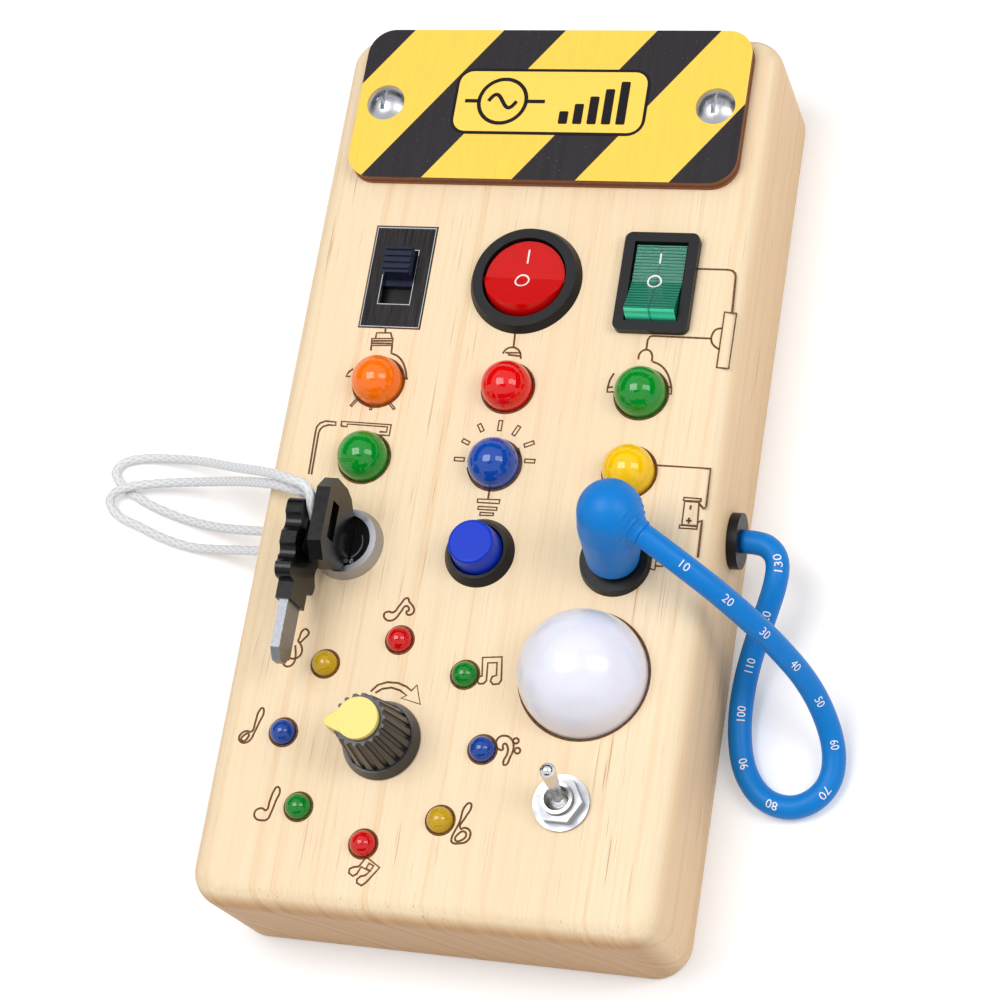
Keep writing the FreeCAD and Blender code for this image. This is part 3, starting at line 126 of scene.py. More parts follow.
KEY_LOOP_ROUTE = [
    (-0.0429, -0.0096, 0.0382), (-0.0384, -0.0116, 0.0428), (-0.0336, -0.0140, 0.0468),
    (-0.0289, -0.0155, 0.0480), (-0.02865, -0.0192, 0.0450), (-0.02865, -0.0207, 0.0416),
    (-0.02865, -0.0203, 0.0385), (-0.02865, -0.0183, 0.0370), (-0.02865, -0.0164, 0.0383),
    (-0.02875, -0.0160, 0.0410), (-0.0306, -0.0155, 0.0434), (-0.0342, -0.0147, 0.0432),
    (-0.0374, -0.0134, 0.0414), (-0.0408, -0.0120, 0.0382)]

# Signs burnt round the lamps, in millimetres on the front face: a kind of stroke and its points
LAMP_SIGNS = [
    ("line", [(-26.8, 25.7), (-26.7, 24.6)]),
    ("line", [(-28.5, 23.2), (-28.5, 24.4), (-25.5, 24.5), (-25.0, 23.3)]),
    ("loop", [(-29.3, 23.1), (-24.8, 23.3), (-24.7, 21.8), (-29.1, 21.6)]),
    ("line", [(-29.2, 22.6), (-24.8, 22.8)]),
    ("line", [(-29.1, 22.1), (-24.8, 22.2)]),
    ("line", [(-29.1, 21.6), (-29.0, 20.5)]),
    ("line", [(-24.7, 21.8), (-24.6, 20.1)]),
    ("arc", [(-24.6, 20.1), (-23.1, 19.5), (-21.8, 18.2), (-20.8, 16.2), (-20.4, 14.8)]),
    ("line", [(-21.4, 14.7), (-20.1, 14.8)]),
    ("line", [(-32.0, 16.4), (-32.8, 15.7), (-33.2, 14.7), (-32.3, 14.7)]),
    ("bar", [(-29.7, 10.2), (-31.0, 8.4)]),
    ("bar", [(-26.7, 9.7), (-26.7, 7.8)]),
    ("bar", [(-23.5, 9.9), (-21.8, 8.2)]),
    ("line", [(0.4, 25.9), (0.6, 22.5)]),
    ("arc", [(-1.4, 21.0), (-0.9, 21.9), (0.3, 22.4), (1.6, 22.0), (2.3, 21.0)]),
    ("line", [(-0.9, 21.2), (2.2, 21.3), (2.5, 20.0)]),
    ("line", [(-0.3, 20.8), (2.3, 20.6)]),
    ("arc", [(29.1, 20.6), (30.6, 20.0), (31.9, 18.9), (32.9, 17.3), (33.6, 15.4)]),
    ("line", [(33.6, 15.4), (33.8, 14.0), (32.2, 14.0)]),
    ("line", [(32.1, 15.5), (33.6, 15.4)]),
    ("line", [(21.8, 17.8), (21.2, 16.4), (21.0, 14.8), (21.0, 13.8), (22.3, 13.9)]),
    ("line", [(21.0, 14.8), (22.0, 14.9)]),
    ("arc", [(26.2, 20.9), (26.3, 22.1), (27.0, 22.9), (28.1, 22.9), (28.8, 22.0), (29.0, 20.6)]),
    ("frame", [(-7.5, -1.7), (-5.5, -1.7)]),
    ("frame", [(-6.5, 2.3), (-5.1, 1.7)]),
    ("frame", [(-3.7, 5.8), (-2.8, 4.4)]),
    ("frame", [(0.6, 6.8), (0.6, 4.7)]),
    ("frame", [(4.5, 5.8), (3.6, 3.9)]),
    ("frame", [(6.2, 1.8), (8.0, 2.6)]),
    ("frame", [(6.8, -1.3), (8.8, -1.3)]),
    ("arc", [(-4.6, -3.3), (-3.9, -4.8), (-2.5, -6.3), (-0.8, -7.1), (0.4, -7.3)]),
    ("arc", [(1.1, -7.3), (2.7, -7.0), (4.5, -5.9), (5.6, -4.0), (5.8, -2.1), (5.6, -0.2), (5.0, 1.3)]),
    ("ring", [(0.3, -7.5), (0.7, -7.1), (1.1, -7.4), (0.8, -7.9)]),
    ("line", [(0.7, -7.9), (0.7, -9.5)]),
    ("loop", [(-1.4, -9.7), (3.1, -9.6), (3.1, -10.4), (-1.3, -10.4)]),
    ("loop", [(-1.0, -11.2), (2.8, -11.2), (2.8, -11.8), (-1.0, -11.8)]),
    ("loop", [(-0.4, -12.4), (2.3, -12.4), (2.3, -12.9), (-0.4, -13.0)]),
]

# Wires, a battery and a pipe burnt beside the lamps
WIRE_SIGNS = [
    ("line", [(35.2, 40.6), (41.4, 40.6), (42.3, 40.4), (42.9, 39.9), (43.1, 39.0), (43.4, 31.5)]),
    ("loop", [(41.9, 31.6), (44.3, 31.4), (44.3, 19.8), (41.9, 19.9)]),
    ("arc", [(42.0, 28.2), (40.7, 27.8), (40.1, 26.7), (40.1, 25.5), (40.8, 24.4), (41.9, 23.7)]),
    ("line", [(40.0, 25.9), (28.4, 26.0), (27.8, 25.8), (27.5, 25.1), (27.5, 23.1)]),
    ("line", [(31.9, -0.8), (43.6, -0.9), (43.8, -8.7)]),
    ("loop", [(39.3, -7.0), (42.6, -7.1), (42.6, -7.6), (39.2, -7.6)]),
    ("loop", [(39.5, -7.8), (42.3, -7.8), (42.6, -12.5), (39.6, -12.5)]),
    ("loop", [(39.2, -12.6), (42.6, -12.7), (42.6, -13.2), (39.2, -13.2)]),
    ("line", [(42.4, -8.1), (43.3, -9.0), (43.8, -8.8)]),
    ("line", [(42.6, -11.8), (43.4, -11.4), (43.4, -12.3)]),
    ("line", [(40.8, -8.5), (40.8, -9.4)]),
    ("line", [(40.8, -11.0), (40.9, -12.2)]),
    ("line", [(40.3, -11.6), (41.4, -11.6)]),
    ("line", [(43.4, -12.3), (43.6, -18.8)]),
    ("loop", [(34.8, -19.2), (35.7, -19.3), (35.7, -21.8), (34.7, -21.6)]),
    ("line", [(35.8, -19.8), (37.1, -20.0), (37.1, -21.0), (35.7, -21.0)]),
    ("line", [(-37.1, -6.5), (-37.4, 2.7), (-37.3, 3.6), (-36.8, 4.4), (-35.7, 4.9), (-33.5, 4.8),
      (-33.4, 4.1), (-35.0, 4.1), (-36.0, 3.7), (-36.5, 3.1), (-36.7, 2.3), (-36.5, -6.6)]),
    ("line", [(-32.2, 4.0), (-32.3, 5.0), (-21.8, 4.8), (-21.8, 2.5), (-23.9, 2.5)]),
    ("line", [(-32.2, 4.0), (-31.0, 3.9), (-31.0, 4.5), (-22.5, 4.3), (-22.5, 3.2), (-24.0, 3.2)]),
    ("loop", [(-40.1, -23.7), (-39.4, -23.7), (-39.3, -24.8), (-40.0, -24.8)]),
]

# Notes, clefs and the turning arrow burnt round the knob
NOTE_SIGNS = [
    ("ring", [(-16.1, -34.6), (-16.0, -34.0), (-15.2, -33.7), (-14.4, -33.8), (-13.2, -32.1),
      (-12.0, -30.7), (-11.5, -31.4), (-10.5, -32.4), (-10.2, -33.2), (-10.6, -33.9), (-11.4, -34.0),
      (-11.7, -33.4), (-11.3, -33.2), (-11.9, -32.3), (-12.8, -33.5), (-13.8, -35.1), (-14.9, -35.5),
      (-15.7, -35.2)]),
    ("arc", [(-30.8, -38.8), (-31.5, -38.4), (-32.1, -38.8), (-32.4, -40.0), (-32.4, -41.1),
      (-31.3, -40.2), (-30.7, -39.3), (-30.8, -38.8)]),
    ("arc", [(-32.3, -41.1), (-31.7, -41.9), (-31.4, -43.1), (-32.0, -44.2), (-33.4, -44.5),
      (-34.5, -43.8), (-34.8, -42.9), (-34.1, -42.1)]),
    ("arc", [(-33.0, -41.8), (-32.5, -44.0), (-32.6, -45.3), (-33.4, -46.1), (-34.4, -46.0),
      (-34.8, -45.3), (-34.4, -44.7), (-33.6, -44.8)]),
    ("loop", [(5.0, -41.4), (8.8, -41.0), (9.4, -45.6), (9.0, -46.3), (7.9, -46.5), (7.3, -45.9),
      (7.5, -45.0), (8.3, -44.7), (8.0, -42.2), (6.2, -42.4), (6.5, -45.9), (6.0, -46.5), (5.2, -46.6),
      (4.7, -46.1), (4.8, -45.3), (5.5, -45.0)]),
    ("line", [(-16.0, -49.8), (-14.8, -48.4), (-13.0, -47.7), (-10.8, -47.7), (-9.0, -48.3),
      (-7.9, -49.0), (-7.0, -47.8), (-5.7, -51.5), (-9.7, -50.6), (-8.7, -50.0), (-10.2, -49.1),
      (-12.0, -48.7), (-13.8, -49.1), (-15.0, -50.0)]),
    ("ring", [(-37.7, -55.3), (-37.2, -54.8), (-36.8, -55.3), (-37.3, -57.7), (-37.9, -59.8),
      (-38.4, -61.2), (-39.3, -61.9), (-40.3, -61.8), (-40.8, -61.1), (-40.5, -60.2), (-39.6, -59.6),
      (-38.5, -59.6), (-38.1, -57.8)]),
    ("ring", [(-40.3, -61.3), (-39.9, -60.5), (-39.0, -60.1), (-39.1, -61.0), (-39.7, -61.6)]),
    ("ring", [(-31.6, -70.6), (-31.1, -69.9), (-30.5, -70.4), (-30.9, -72.7), (-31.4, -75.0),
      (-31.9, -76.3), (-33.1, -76.6), (-34.3, -76.3), (-34.7, -75.3), (-34.3, -74.6), (-33.3, -74.3),
      (-32.5, -74.6), (-32.1, -72.8)]),
    ("loop", [(-10.9, -81.6), (-8.0, -83.3), (-10.1, -86.3), (-10.9, -87.0), (-11.9, -86.6),
      (-12.0, -85.9), (-11.4, -85.3), (-10.5, -85.0), (-9.8, -84.2), (-11.6, -83.5), (-12.2, -84.9),
      (-12.9, -85.4), (-13.8, -84.9), (-13.8, -84.1), (-13.1, -83.7), (-12.1, -83.5)]),
    ("loop", [(-10.2, -82.7), (-9.2, -83.1), (-9.7, -84.1), (-10.6, -83.7)]),
    ("ring", [(6.7, -69.9), (7.4, -69.6), (7.7, -70.2), (6.9, -72.3), (6.3, -74.5), (7.1, -74.3),
      (8.1, -74.7), (8.4, -75.6), (7.9, -76.8), (6.6, -77.3), (5.2, -77.3), (4.9, -76.9), (5.9, -73.4)]),
    ("ring", [(6.2, -75.4), (7.1, -75.0), (7.6, -75.6), (7.1, -76.5), (5.7, -76.8)]),
    ("ring", [(10.4, -57.9), (10.7, -56.7), (11.9, -56.2), (13.3, -56.8), (13.9, -58.2), (13.6, -60.1),
      (12.7, -61.8), (12.4, -61.2), (12.9, -59.6), (12.7, -58.2), (12.1, -57.7), (11.8, -58.1),
      (11.9, -58.9), (11.2, -58.9), (10.6, -58.5)]),
    ("ring", [(13.6, -57.0), (14.1, -56.5), (14.7, -56.9), (14.3, -57.5)]),
    ("ring", [(14.2, -58.9), (14.6, -58.3), (15.3, -58.8), (14.8, -59.4)]),
]

# Nodes that take each finish, apart from the hose and the cords
FINISH_NODES = {
    "pine": ["wooden_case"],
    "striped_ply": ["hazard_plate"],
    "ply": ["back_cover", "battery_door"],
    "zinc": ["back_cover_screws", "plate_screws", "board_screws", "battery_contacts", "panel_nuts",
             "push_button_spring", "plug_pin", "pot_body", "pot_nut", "pot_shaft"],
    "chrome": ["toggle_lever"],
    "ring_silver": ["lock_body", "toggle_washer", "toggle_nut"],
    "key_steel": ["lock_key_blade", "spare_key_blade"],
    "dark_steel": ["slide_switch_plate"],
    "switch_body": ["toggle_body"],
    "moulded_black": ["battery_holder", "slide_switch_body", "round_rocker_housing", "square_rocker_housing",
                      "push_button_bezel", "hose_socket", "hose_grommet"],
    "gloss_black": ["lock_rotor", "lock_key_head", "spare_key_head"],
    "navy": ["slide_switch_knob"],
    "milky": ["board_spacers", "dome_lens", "dome_holder"],
    "red_glow": ["round_rocker_button"],
    "ribbed_green": ["square_rocker_button"],
    "cap_blue": ["push_button_cap"],
    "hose_blue": ["plug_boot"],
    "knob_grey": ["knob"],
    "cap_yellow": ["knob_cap"],
    "circuit": ["main_circuit_board", "ring_circuit_board"],
    "cell_sleeve": ["batteries"],
    "wire_red": ["wiring"],
    "lamp_orange": ["lamp_orange"],
    "lamp_red": ["lamp_red"],
    "lamp_green": ["lamps_green"],
    "lamp_blue": ["lamp_blue"],
    "lamp_yellow": ["lamp_yellow", "dome_lamp"],
    "ring_red": ["ring_lamps_red"],
    "ring_green": ["ring_lamps_green"],
    "ring_blue": ["ring_lamps_blue"],
    "ring_yellow": ["ring_lamps_yellow"],
}


def linear(red, green, blue):
    """A screen colour from 0 to 255 as the linear colour that a shader takes."""
    return tuple(((v / 255 + 0.055) / 1.055) ** 2.4 for v in (red, green, blue))


def colour(name, description, *screen):
    """A colour that a user can change in the panel."""
    return bpy.props.FloatVectorProperty(name=name, description=description, subtype="COLOR", size=3,
                                         min=0.0, max=1.0, default=linear(*screen))


def length(name, description, value):
    """A length that a user can change in the panel, in metres."""
    return bpy.props.FloatProperty(name=name, description=description, default=value, unit="LENGTH",
                                   min=0.0, precision=5)


def strength(name, description, value, unit="NONE"):
    """The strength of a light that a user can change in the panel."""
    return bpy.props.FloatProperty(name=name, description=description, default=value, unit=unit, min=0.0)


class BoardColours(bpy.types.PropertyGroup):
    """Colours of the finishes."""
    pine: colour("Pine", "Planed pine of the case", 243, 222, 188)
    pine_late: colour("Late wood", "Darker growth lines in the pine", 226, 190, 143)
    pine_streak: colour("Resin streak", "Short brown streaks along the grain", 172, 125, 84)
    burnt: colour("Burnt line", "Laser-burnt wood", 96, 66, 44)
    ply_edge: colour("Plywood edge", "Burnt edge of the painted plate", 142, 84, 52)
    hazard_yellow: colour("Plate yellow", "Yellow paint of the plate", 254, 210, 84)
    hazard_black: colour("Plate black", "Black paint of the plate", 34, 29, 34)
    orange: colour("Orange lamp", "Orange lens", 255, 118, 2)
    red: colour("Red lamp", "Red lens", 226, 4, 4)
    green: colour("Green lamp", "Green lens", 0, 142, 36)
    blue: colour("Blue lamp", "Blue lens", 16, 74, 170)
    yellow: colour("Yellow lamp", "Yellow lens", 255, 200, 0)
    hose: colour("Hose", "Blue hose and plug", 0, 122, 205)
    button: colour("Push button", "Blue push button", 0, 52, 192)
    cord: colour("Cord", "White braided cord", 240, 241, 244)


class BoardSizes(bpy.types.PropertyGroup):
    """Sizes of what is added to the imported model."""
    burn_width: length("Burn width", "Width of a burnt line", 0.00043)
    burn_relief: length("Burn relief", "Height that a burnt line stands proud", 0.00004)
    emblem_width: length("Emblem width", "Width of the emblem on the plate", 0.0410)
    emblem_length: length("Emblem length", "Length of the emblem up the plate", 0.0150)
    cord_radius: length("Cord radius", "Radius of the braided cord", 0.001)
    hose_radius: length("Hose radius", "Radius of the blue hose", 0.0023)


class StudioSettings(bpy.types.PropertyGroup):
    """Light on the board."""
    ambient: strength("Ambient", "Strength of the even light", 0.46)
    key_power: strength("Left softbox", "Power of the left softbox", 4.1, "POWER")
    fill_power: strength("Right softbox", "Power of the right softbox", 2.2, "POWER")


def add(tree, kind, sockets=None, **settings):
    """A shader node, its sockets given as values or as the outputs that feed them."""
    made = tree.nodes.new(kind)
    for key, value in settings.items():
        setattr(made, key, value)
    for key, value in (sockets or {}).items():
        if isinstance(value, bpy.types.NodeSocket):
            tree.links.new(value, made.inputs[key])
        else:
            made.inputs[key].default_value = value
    return made


def place_in(tree):
    """Place on the piece, in metres."""
    return add(tree, "ShaderNodeTexCoord").outputs["Object"]


def place_along(tree, axis):
    """Place on the piece along one axis, in metres."""
    return add(tree, "ShaderNodeSeparateXYZ", {0: place_in(tree)}).outputs[axis]


def grain(tree, scale, detail, rough=0.5, where=None):
    """Noise stretched by one scale an axis, as a number."""
    mapped = add(tree, "ShaderNodeMapping", {"Vector": where or place_in(tree), "Scale": scale})
    return add(tree, "ShaderNodeTexNoise", {"Vector": mapped.outputs[0], "Scale": 1.0, "Detail": detail,
                                            "Roughness": rough}).outputs["Fac"]


def spread(tree, value, low, high, to_low=0.0, to_high=1.0):
    """A number taken from one range to another and held inside it."""
    return add(tree, "ShaderNodeMapRange", {0: value, 1: low, 2: high, 3: to_low, 4: to_high}).outputs[0]


def even_out(tree, noise, to_low=0.0, to_high=1.0):
    """Noise, which lies mostly between 0.3 and 0.7, taken to a whole range."""
    return spread(tree, noise, 0.3, 0.7, to_low, to_high)


def maths(tree, operation, a, b=0.0, c=0.0):
    """The result of one Math node."""
    return add(tree, "ShaderNodeMath", {0: a, 1: b, 2: c}, operation=operation).outputs[0]


def blend(tree, share, a, b, kind="MIX"):
    """Two colours mixed."""
    a, b = (v if isinstance(v, bpy.types.NodeSocket) else (*v[:3], 1.0) for v in (a, b))
    return add(tree, "ShaderNodeMix", {0: share, 6: a, 7: b}, data_type="RGBA", blend_type=kind).outputs[2]


def facing(tree, axis):
    """How much a face looks along an axis, without its sign."""
    parts = add(tree, "ShaderNodeSeparateXYZ", {0: add(tree, "ShaderNodeNewGeometry").outputs["Normal"]})
    return maths(tree, "ABSOLUTE", parts.outputs[axis])


def start_finish(name, **sockets):
    """A material and its shader, with constant values set on the shader's own sockets."""
    material = bpy.data.materials.new(name)
    material.use_nodes = True
    shader = material.node_tree.nodes["Principled BSDF"]
    for key, value in sockets.items():
        shader.inputs[key.replace("_", " ")].default_value = value
    return material, material.node_tree, shader


def emboss(tree, shader, strength, distance, height):
    """Bump on a finish: a pattern of heights, each counted in a distance in metres."""
    bump = add(tree, "ShaderNodeBump", {"Strength": strength, "Distance": distance, "Height": height})
    tree.links.new(bump.outputs[0], shader.inputs["Normal"])


def wear(tree, shader, base, scale, amount, rough, rough_span, height):
    """Small changes of tone, gloss and height that every moulded or turned surface has."""
    mottle = grain(tree, (scale,) * 3, 4.0, 0.6)
    darker = tuple(v * (1 - amount) for v in base[:3])
    lighter = tuple(min(1.0, v * (1 + amount)) for v in base[:3])
    tone = blend(tree, even_out(tree, mottle), darker, lighter)
    tree.links.new(tone, shader.inputs["Base Color"])
    tree.links.new(even_out(tree, mottle, rough - rough_span, rough + rough_span),
                   shader.inputs["Roughness"])
    emboss(tree, shader, 0.35, height, grain(tree, (scale * 4,) * 3, 2.0))


def plastic(name, base, rough, coat=0.0, scale=900.0, amount=0.06, **sockets):
    """Moulded plastic with a fine texture."""
    material, tree, shader = start_finish(name, Coat_Weight=coat, Coat_Roughness=0.08, **sockets)
    wear(tree, shader, base, scale, amount, rough, rough_span=0.05, height=0.00002)
    return material


def metal(name, base, rough, brushed, amount=0.08):
    """Plated metal with fine marks."""
    material, tree, shader = start_finish(name, Metallic=1.0)
    marks = grain(tree, brushed, 3.0)
    tree.links.new(blend(tree, spread(tree, marks, 0.35, 0.65), [v * (1 - amount) for v in base], base),
                   shader.inputs["Base Color"])
    tree.links.new(even_out(tree, marks, rough * 0.7, rough * 1.4), shader.inputs["Roughness"])
    return material


def lens(name, base, depth=0.0022, rough=0.06, coat=0.4):
    """Glossy tinted lens that glows a little through its body."""
    material, tree, shader = start_finish(name, Coat_Weight=coat, Coat_Roughness=0.03, Subsurface_Weight=0.45,
                                          Subsurface_Scale=depth, IOR=1.45, Specular_IOR_Level=0.35)
    shader.inputs["Subsurface Radius"].default_value = (1.0, 1.0, 1.0)
    wear(tree, shader, base, scale=260.0, amount=0.015, rough=rough, rough_span=0.01, height=0.0000005)
    return material


def pine(colours):
    """Pale pine sawn along the board, with growth lines, fibres, brown streaks, darker end grain that also
    carries painted shade, and painted shade on the side faces.
    """
    material, tree, shader = start_finish("pine", Specular_IOR_Level=0.3)
    where = place_in(tree)
    sway = grain(tree, (14.0, 3.0, 14.0), 2.0, 0.5, where)
    heart_beside, heart_below, sway_reach, ring_scale = 0.155, 0.085, 0.010, 520.0
    across = maths(tree, "ADD", place_along(tree, 0), heart_beside)
    deep = maths(tree, "ADD", place_along(tree, 2), heart_below)
    ring = maths(tree, "SQRT", maths(tree, "ADD", maths(tree, "MULTIPLY", across, across),
                                     maths(tree, "MULTIPLY", deep, deep)))
    ring = maths(tree, "ADD", ring, maths(tree, "MULTIPLY", sway, sway_reach))
    lines = add(tree, "ShaderNodeTexNoise", {"W": ring, "Scale": ring_scale, "Detail": 3.0, "Roughness": 0.6},
                noise_dimensions="1D").outputs["Fac"]
    late = spread(tree, lines, 0.52, 0.76, 0.0, 0.55)
    wide = even_out(tree, grain(tree, (38.0, 2.2, 38.0), 3.0, 0.5, where), 0.0, 0.30)
    tone = blend(tree, late, tuple(colours.pine), tuple(colours.pine_late))
    tone = blend(tree, wide, tone, tuple(colours.pine_late))
    fibre = grain(tree, (2400.0, 42.0, 2400.0), 3.0, 0.6, where)
    threads = spread(tree, fibre, 0.35, 0.75, 0.0, 0.10)
    tone = blend(tree, threads, tone, tuple(colours.pine_streak), "MULTIPLY")
    streaks = spread(tree, grain(tree, (2600.0, 58.0, 2600.0), 1.0, 0.4, where), 0.665, 0.73, 0.0, 0.7)
    patches = spread(tree, grain(tree, (55.0, 14.0, 55.0), 2.0, 0.5, where), 0.42, 0.62, 0.15, 1.0)
    tone = blend(tree, maths(tree, "MULTIPLY", streaks, patches), tone, tuple(colours.pine_streak))
    # End grain is darker, and this darkening is also painted shade on the board's end faces.
    end = spread(tree, facing(tree, 1), 0.55, 0.9)
    bands = spread(tree, lines, 0.38, 0.68, 0.0, 0.6)
    end_grain_and_shade_tone = blend(tree, bands, linear(208, 165, 118), linear(180, 134, 90))
    tone = blend(tree, end, tone, end_grain_and_shade_tone)
    # Painted shade: faces that look along x are darkened, for the board's sides in shade.
    painted_side_shade = spread(tree, facing(tree, 0), 0.6, 0.95, 0.0, 0.5)
    tone = blend(tree, painted_side_shade, tone, linear(250, 226, 200), "MULTIPLY")
    tree.links.new(tone, shader.inputs["Base Color"])
    tree.links.new(even_out(tree, fibre, 0.42, 0.58), shader.inputs["Roughness"])
    emboss(tree, shader, 0.25, 0.00004, fibre)
    return material


def ply(name, face, edge):
    """Birch plywood: pale faces, and plies of two tones on the edges."""
    material, tree, shader = start_finish(name, Specular_IOR_Level=0.3)
    fibre = grain(tree, (900.0, 30.0, 900.0), 3.0)
    tone = blend(tree, even_out(tree, fibre, 0.0, 0.35), face, edge)
    plies = add(tree, "ShaderNodeTexNoise", {"W": place_along(tree, 2), "Scale": 1100.0, "Detail": 1.0},
                noise_dimensions="1D").outputs["Fac"]
    side = blend(tree, spread(tree, plies, 0.35, 0.65), edge, [v * 0.45 for v in edge])
    up = spread(tree, facing(tree, 2), 0.4, 0.75)
    tree.links.new(blend(tree, up, side, tone), shader.inputs["Base Color"])
    tree.links.new(even_out(tree, fibre, 0.5, 0.68), shader.inputs["Roughness"])
    return material, tree, shader


def striped_ply(colours):
    """Painted plate: leaning yellow and black stripes on top, burnt plies on the edge."""
    material, tree, shader = ply("striped_ply", linear(240, 200, 140), tuple(colours.ply_edge))
    lean, period, start, share = 0.7434, 0.0325, -0.03735, 0.408
    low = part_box("hazard_plate")[0].y
    up_plate = maths(tree, "SUBTRACT", place_along(tree, 1), low)
    along = maths(tree, "MULTIPLY_ADD", up_plate, -lean, place_along(tree, 0))
    # Counted from nine stripes before the first, so that the count is never below nought
    along = maths(tree, "SUBTRACT", along, start - period * 9)
    phase = maths(tree, "FRACT", maths(tree, "DIVIDE", along, period))
    dark = maths(tree, "LESS_THAN", phase, share)
    weave = grain(tree, (2200.0, 160.0, 2200.0), 3.0)
    specks = spread(tree, grain(tree, (3200.0, 3200.0, 3200.0), 1.0), 0.74, 0.78, 0.0, 0.35)
    black = blend(tree, specks, tuple(colours.hazard_black), linear(170, 160, 150))
    shade = tuple(v * 0.93 for v in colours.hazard_yellow)
    yellow = blend(tree, even_out(tree, weave), shade, tuple(colours.hazard_yellow))
    paint = blend(tree, dark, yellow, black)
    old = shader.inputs["Base Color"].links[0].from_socket
    up = spread(tree, facing(tree, 2), 0.6, 0.9)
    tree.links.new(blend(tree, up, old, paint), shader.inputs["Base Color"])
    emboss(tree, shader, 0.3, 0.00003, weave)
    return material


def dark_steel():
    """Switch plate: dark brushed face with bright cut edges."""
    material, tree, shader = start_finish("dark_steel", Metallic=1.0)
    marks = grain(tree, (5200.0, 120.0, 5200.0), 3.0)
    face = blend(tree, even_out(tree, marks), linear(42, 40, 42), linear(60, 57, 58))
    up = spread(tree, facing(tree, 2), 0.93, 0.99)
    tree.links.new(blend(tree, up, linear(225, 222, 218), face), shader.inputs["Base Color"])
    tree.links.new(even_out(tree, marks, 0.18, 0.36), shader.inputs["Roughness"])
    return material


def switch_body():
    """Toggle switch: black case below the panel, turned and threaded steel bushing above it, with painted
    shade in the roots of its thread.
    """
    material, tree, shader = start_finish("switch_body")
    height = place_along(tree, 2)
    bushing_foot, thread_pitch = FRONT - 0.0062, 0.0007
    turned = maths(tree, "GREATER_THAN", height, bushing_foot)
    thread = maths(tree, "SINE", maths(tree, "MULTIPLY", height, math.tau / thread_pitch))
    # Painted shade: the steel is darker in the roots of the thread and lighter on its crests.
    steel = blend(tree, spread(tree, thread, -1, 1), linear(150, 148, 146), linear(226, 224, 220))
    tree.links.new(blend(tree, turned, linear(30, 30, 32), steel), shader.inputs["Base Color"])
    tree.links.new(turned, shader.inputs["Metallic"])
    tree.links.new(spread(tree, turned, 0, 1, 0.45, 0.2), shader.inputs["Roughness"])
    emboss(tree, shader, 0.8, 0.00015, thread)
    return material


def ribbed_green():
    """Green rocker: fine ribs across its top with painted shade between them, a lower wall made paler by
    painted light, and a line down the middle.
    """
    material, tree, shader = start_finish("ribbed_green", Coat_Weight=0.5, Coat_Roughness=0.05,
                                          Subsurface_Weight=0.3, Subsurface_Scale=0.001)
    rib_pitch, half_seam = 0.0007, 0.00022
    rib = maths(tree, "SINE", maths(tree, "MULTIPLY", place_along(tree, 1), math.tau / rib_pitch))
    # Painted shade: the green is darker between the ribs and lighter on them.
    tone = blend(tree, spread(tree, rib, -1, 1, 0.0, 0.45), linear(8, 106, 82), linear(28, 158, 126))
    # Painted light: faces that look along y are made paler, as if light shone through the lower wall.
    wall = spread(tree, facing(tree, 1), 0.55, 0.8)
    tone = blend(tree, wall, tone, linear(74, 224, 176))
    low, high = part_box("square_rocker_button")
    aside = maths(tree, "SUBTRACT", place_along(tree, 0), (low.x + high.x) / 2)
    seam = maths(tree, "LESS_THAN", maths(tree, "ABSOLUTE", aside), half_seam)
    tone = blend(tree, maths(tree, "MULTIPLY", seam, 0.55), tone, linear(4, 78, 60))
    tree.links.new(tone, shader.inputs["Base Color"])
    shader.inputs["Roughness"].default_value = 0.14
    emboss(tree, shader, 0.6, 0.00012, rib)
    return material


def braid(colours):
    """White braided cord, with painted shade between its strands."""
    material, tree, shader = start_finish("braid", Sheen_Weight=0.3, Roughness=0.78)
    lit_strand_share = add(tree, "ShaderNodeAttribute", attribute_name="relief").outputs["Fac"]
    # Painted shade: the cord's colour falls to 0.62 of itself in the hollows between the strands.
    tone = blend(tree, lit_strand_share, [v * 0.62 for v in colours.cord], tuple(colours.cord))
    tree.links.new(tone, shader.inputs["Base Color"])
    return material


def burnt(colours):
    """Laser-burnt wood, uneven along its line."""
    material, tree, shader = start_finish("burnt", Roughness=0.8, Specular_IOR_Level=0.1)
    patch = grain(tree, (1500.0, 1500.0, 1500.0), 2.0)
    lighter = tuple(v * 1.9 for v in colours.burnt)
    tree.links.new(blend(tree, spread(tree, patch, 0.35, 0.7), tuple(colours.burnt), lighter),
                   shader.inputs["Base Color"])
    return material


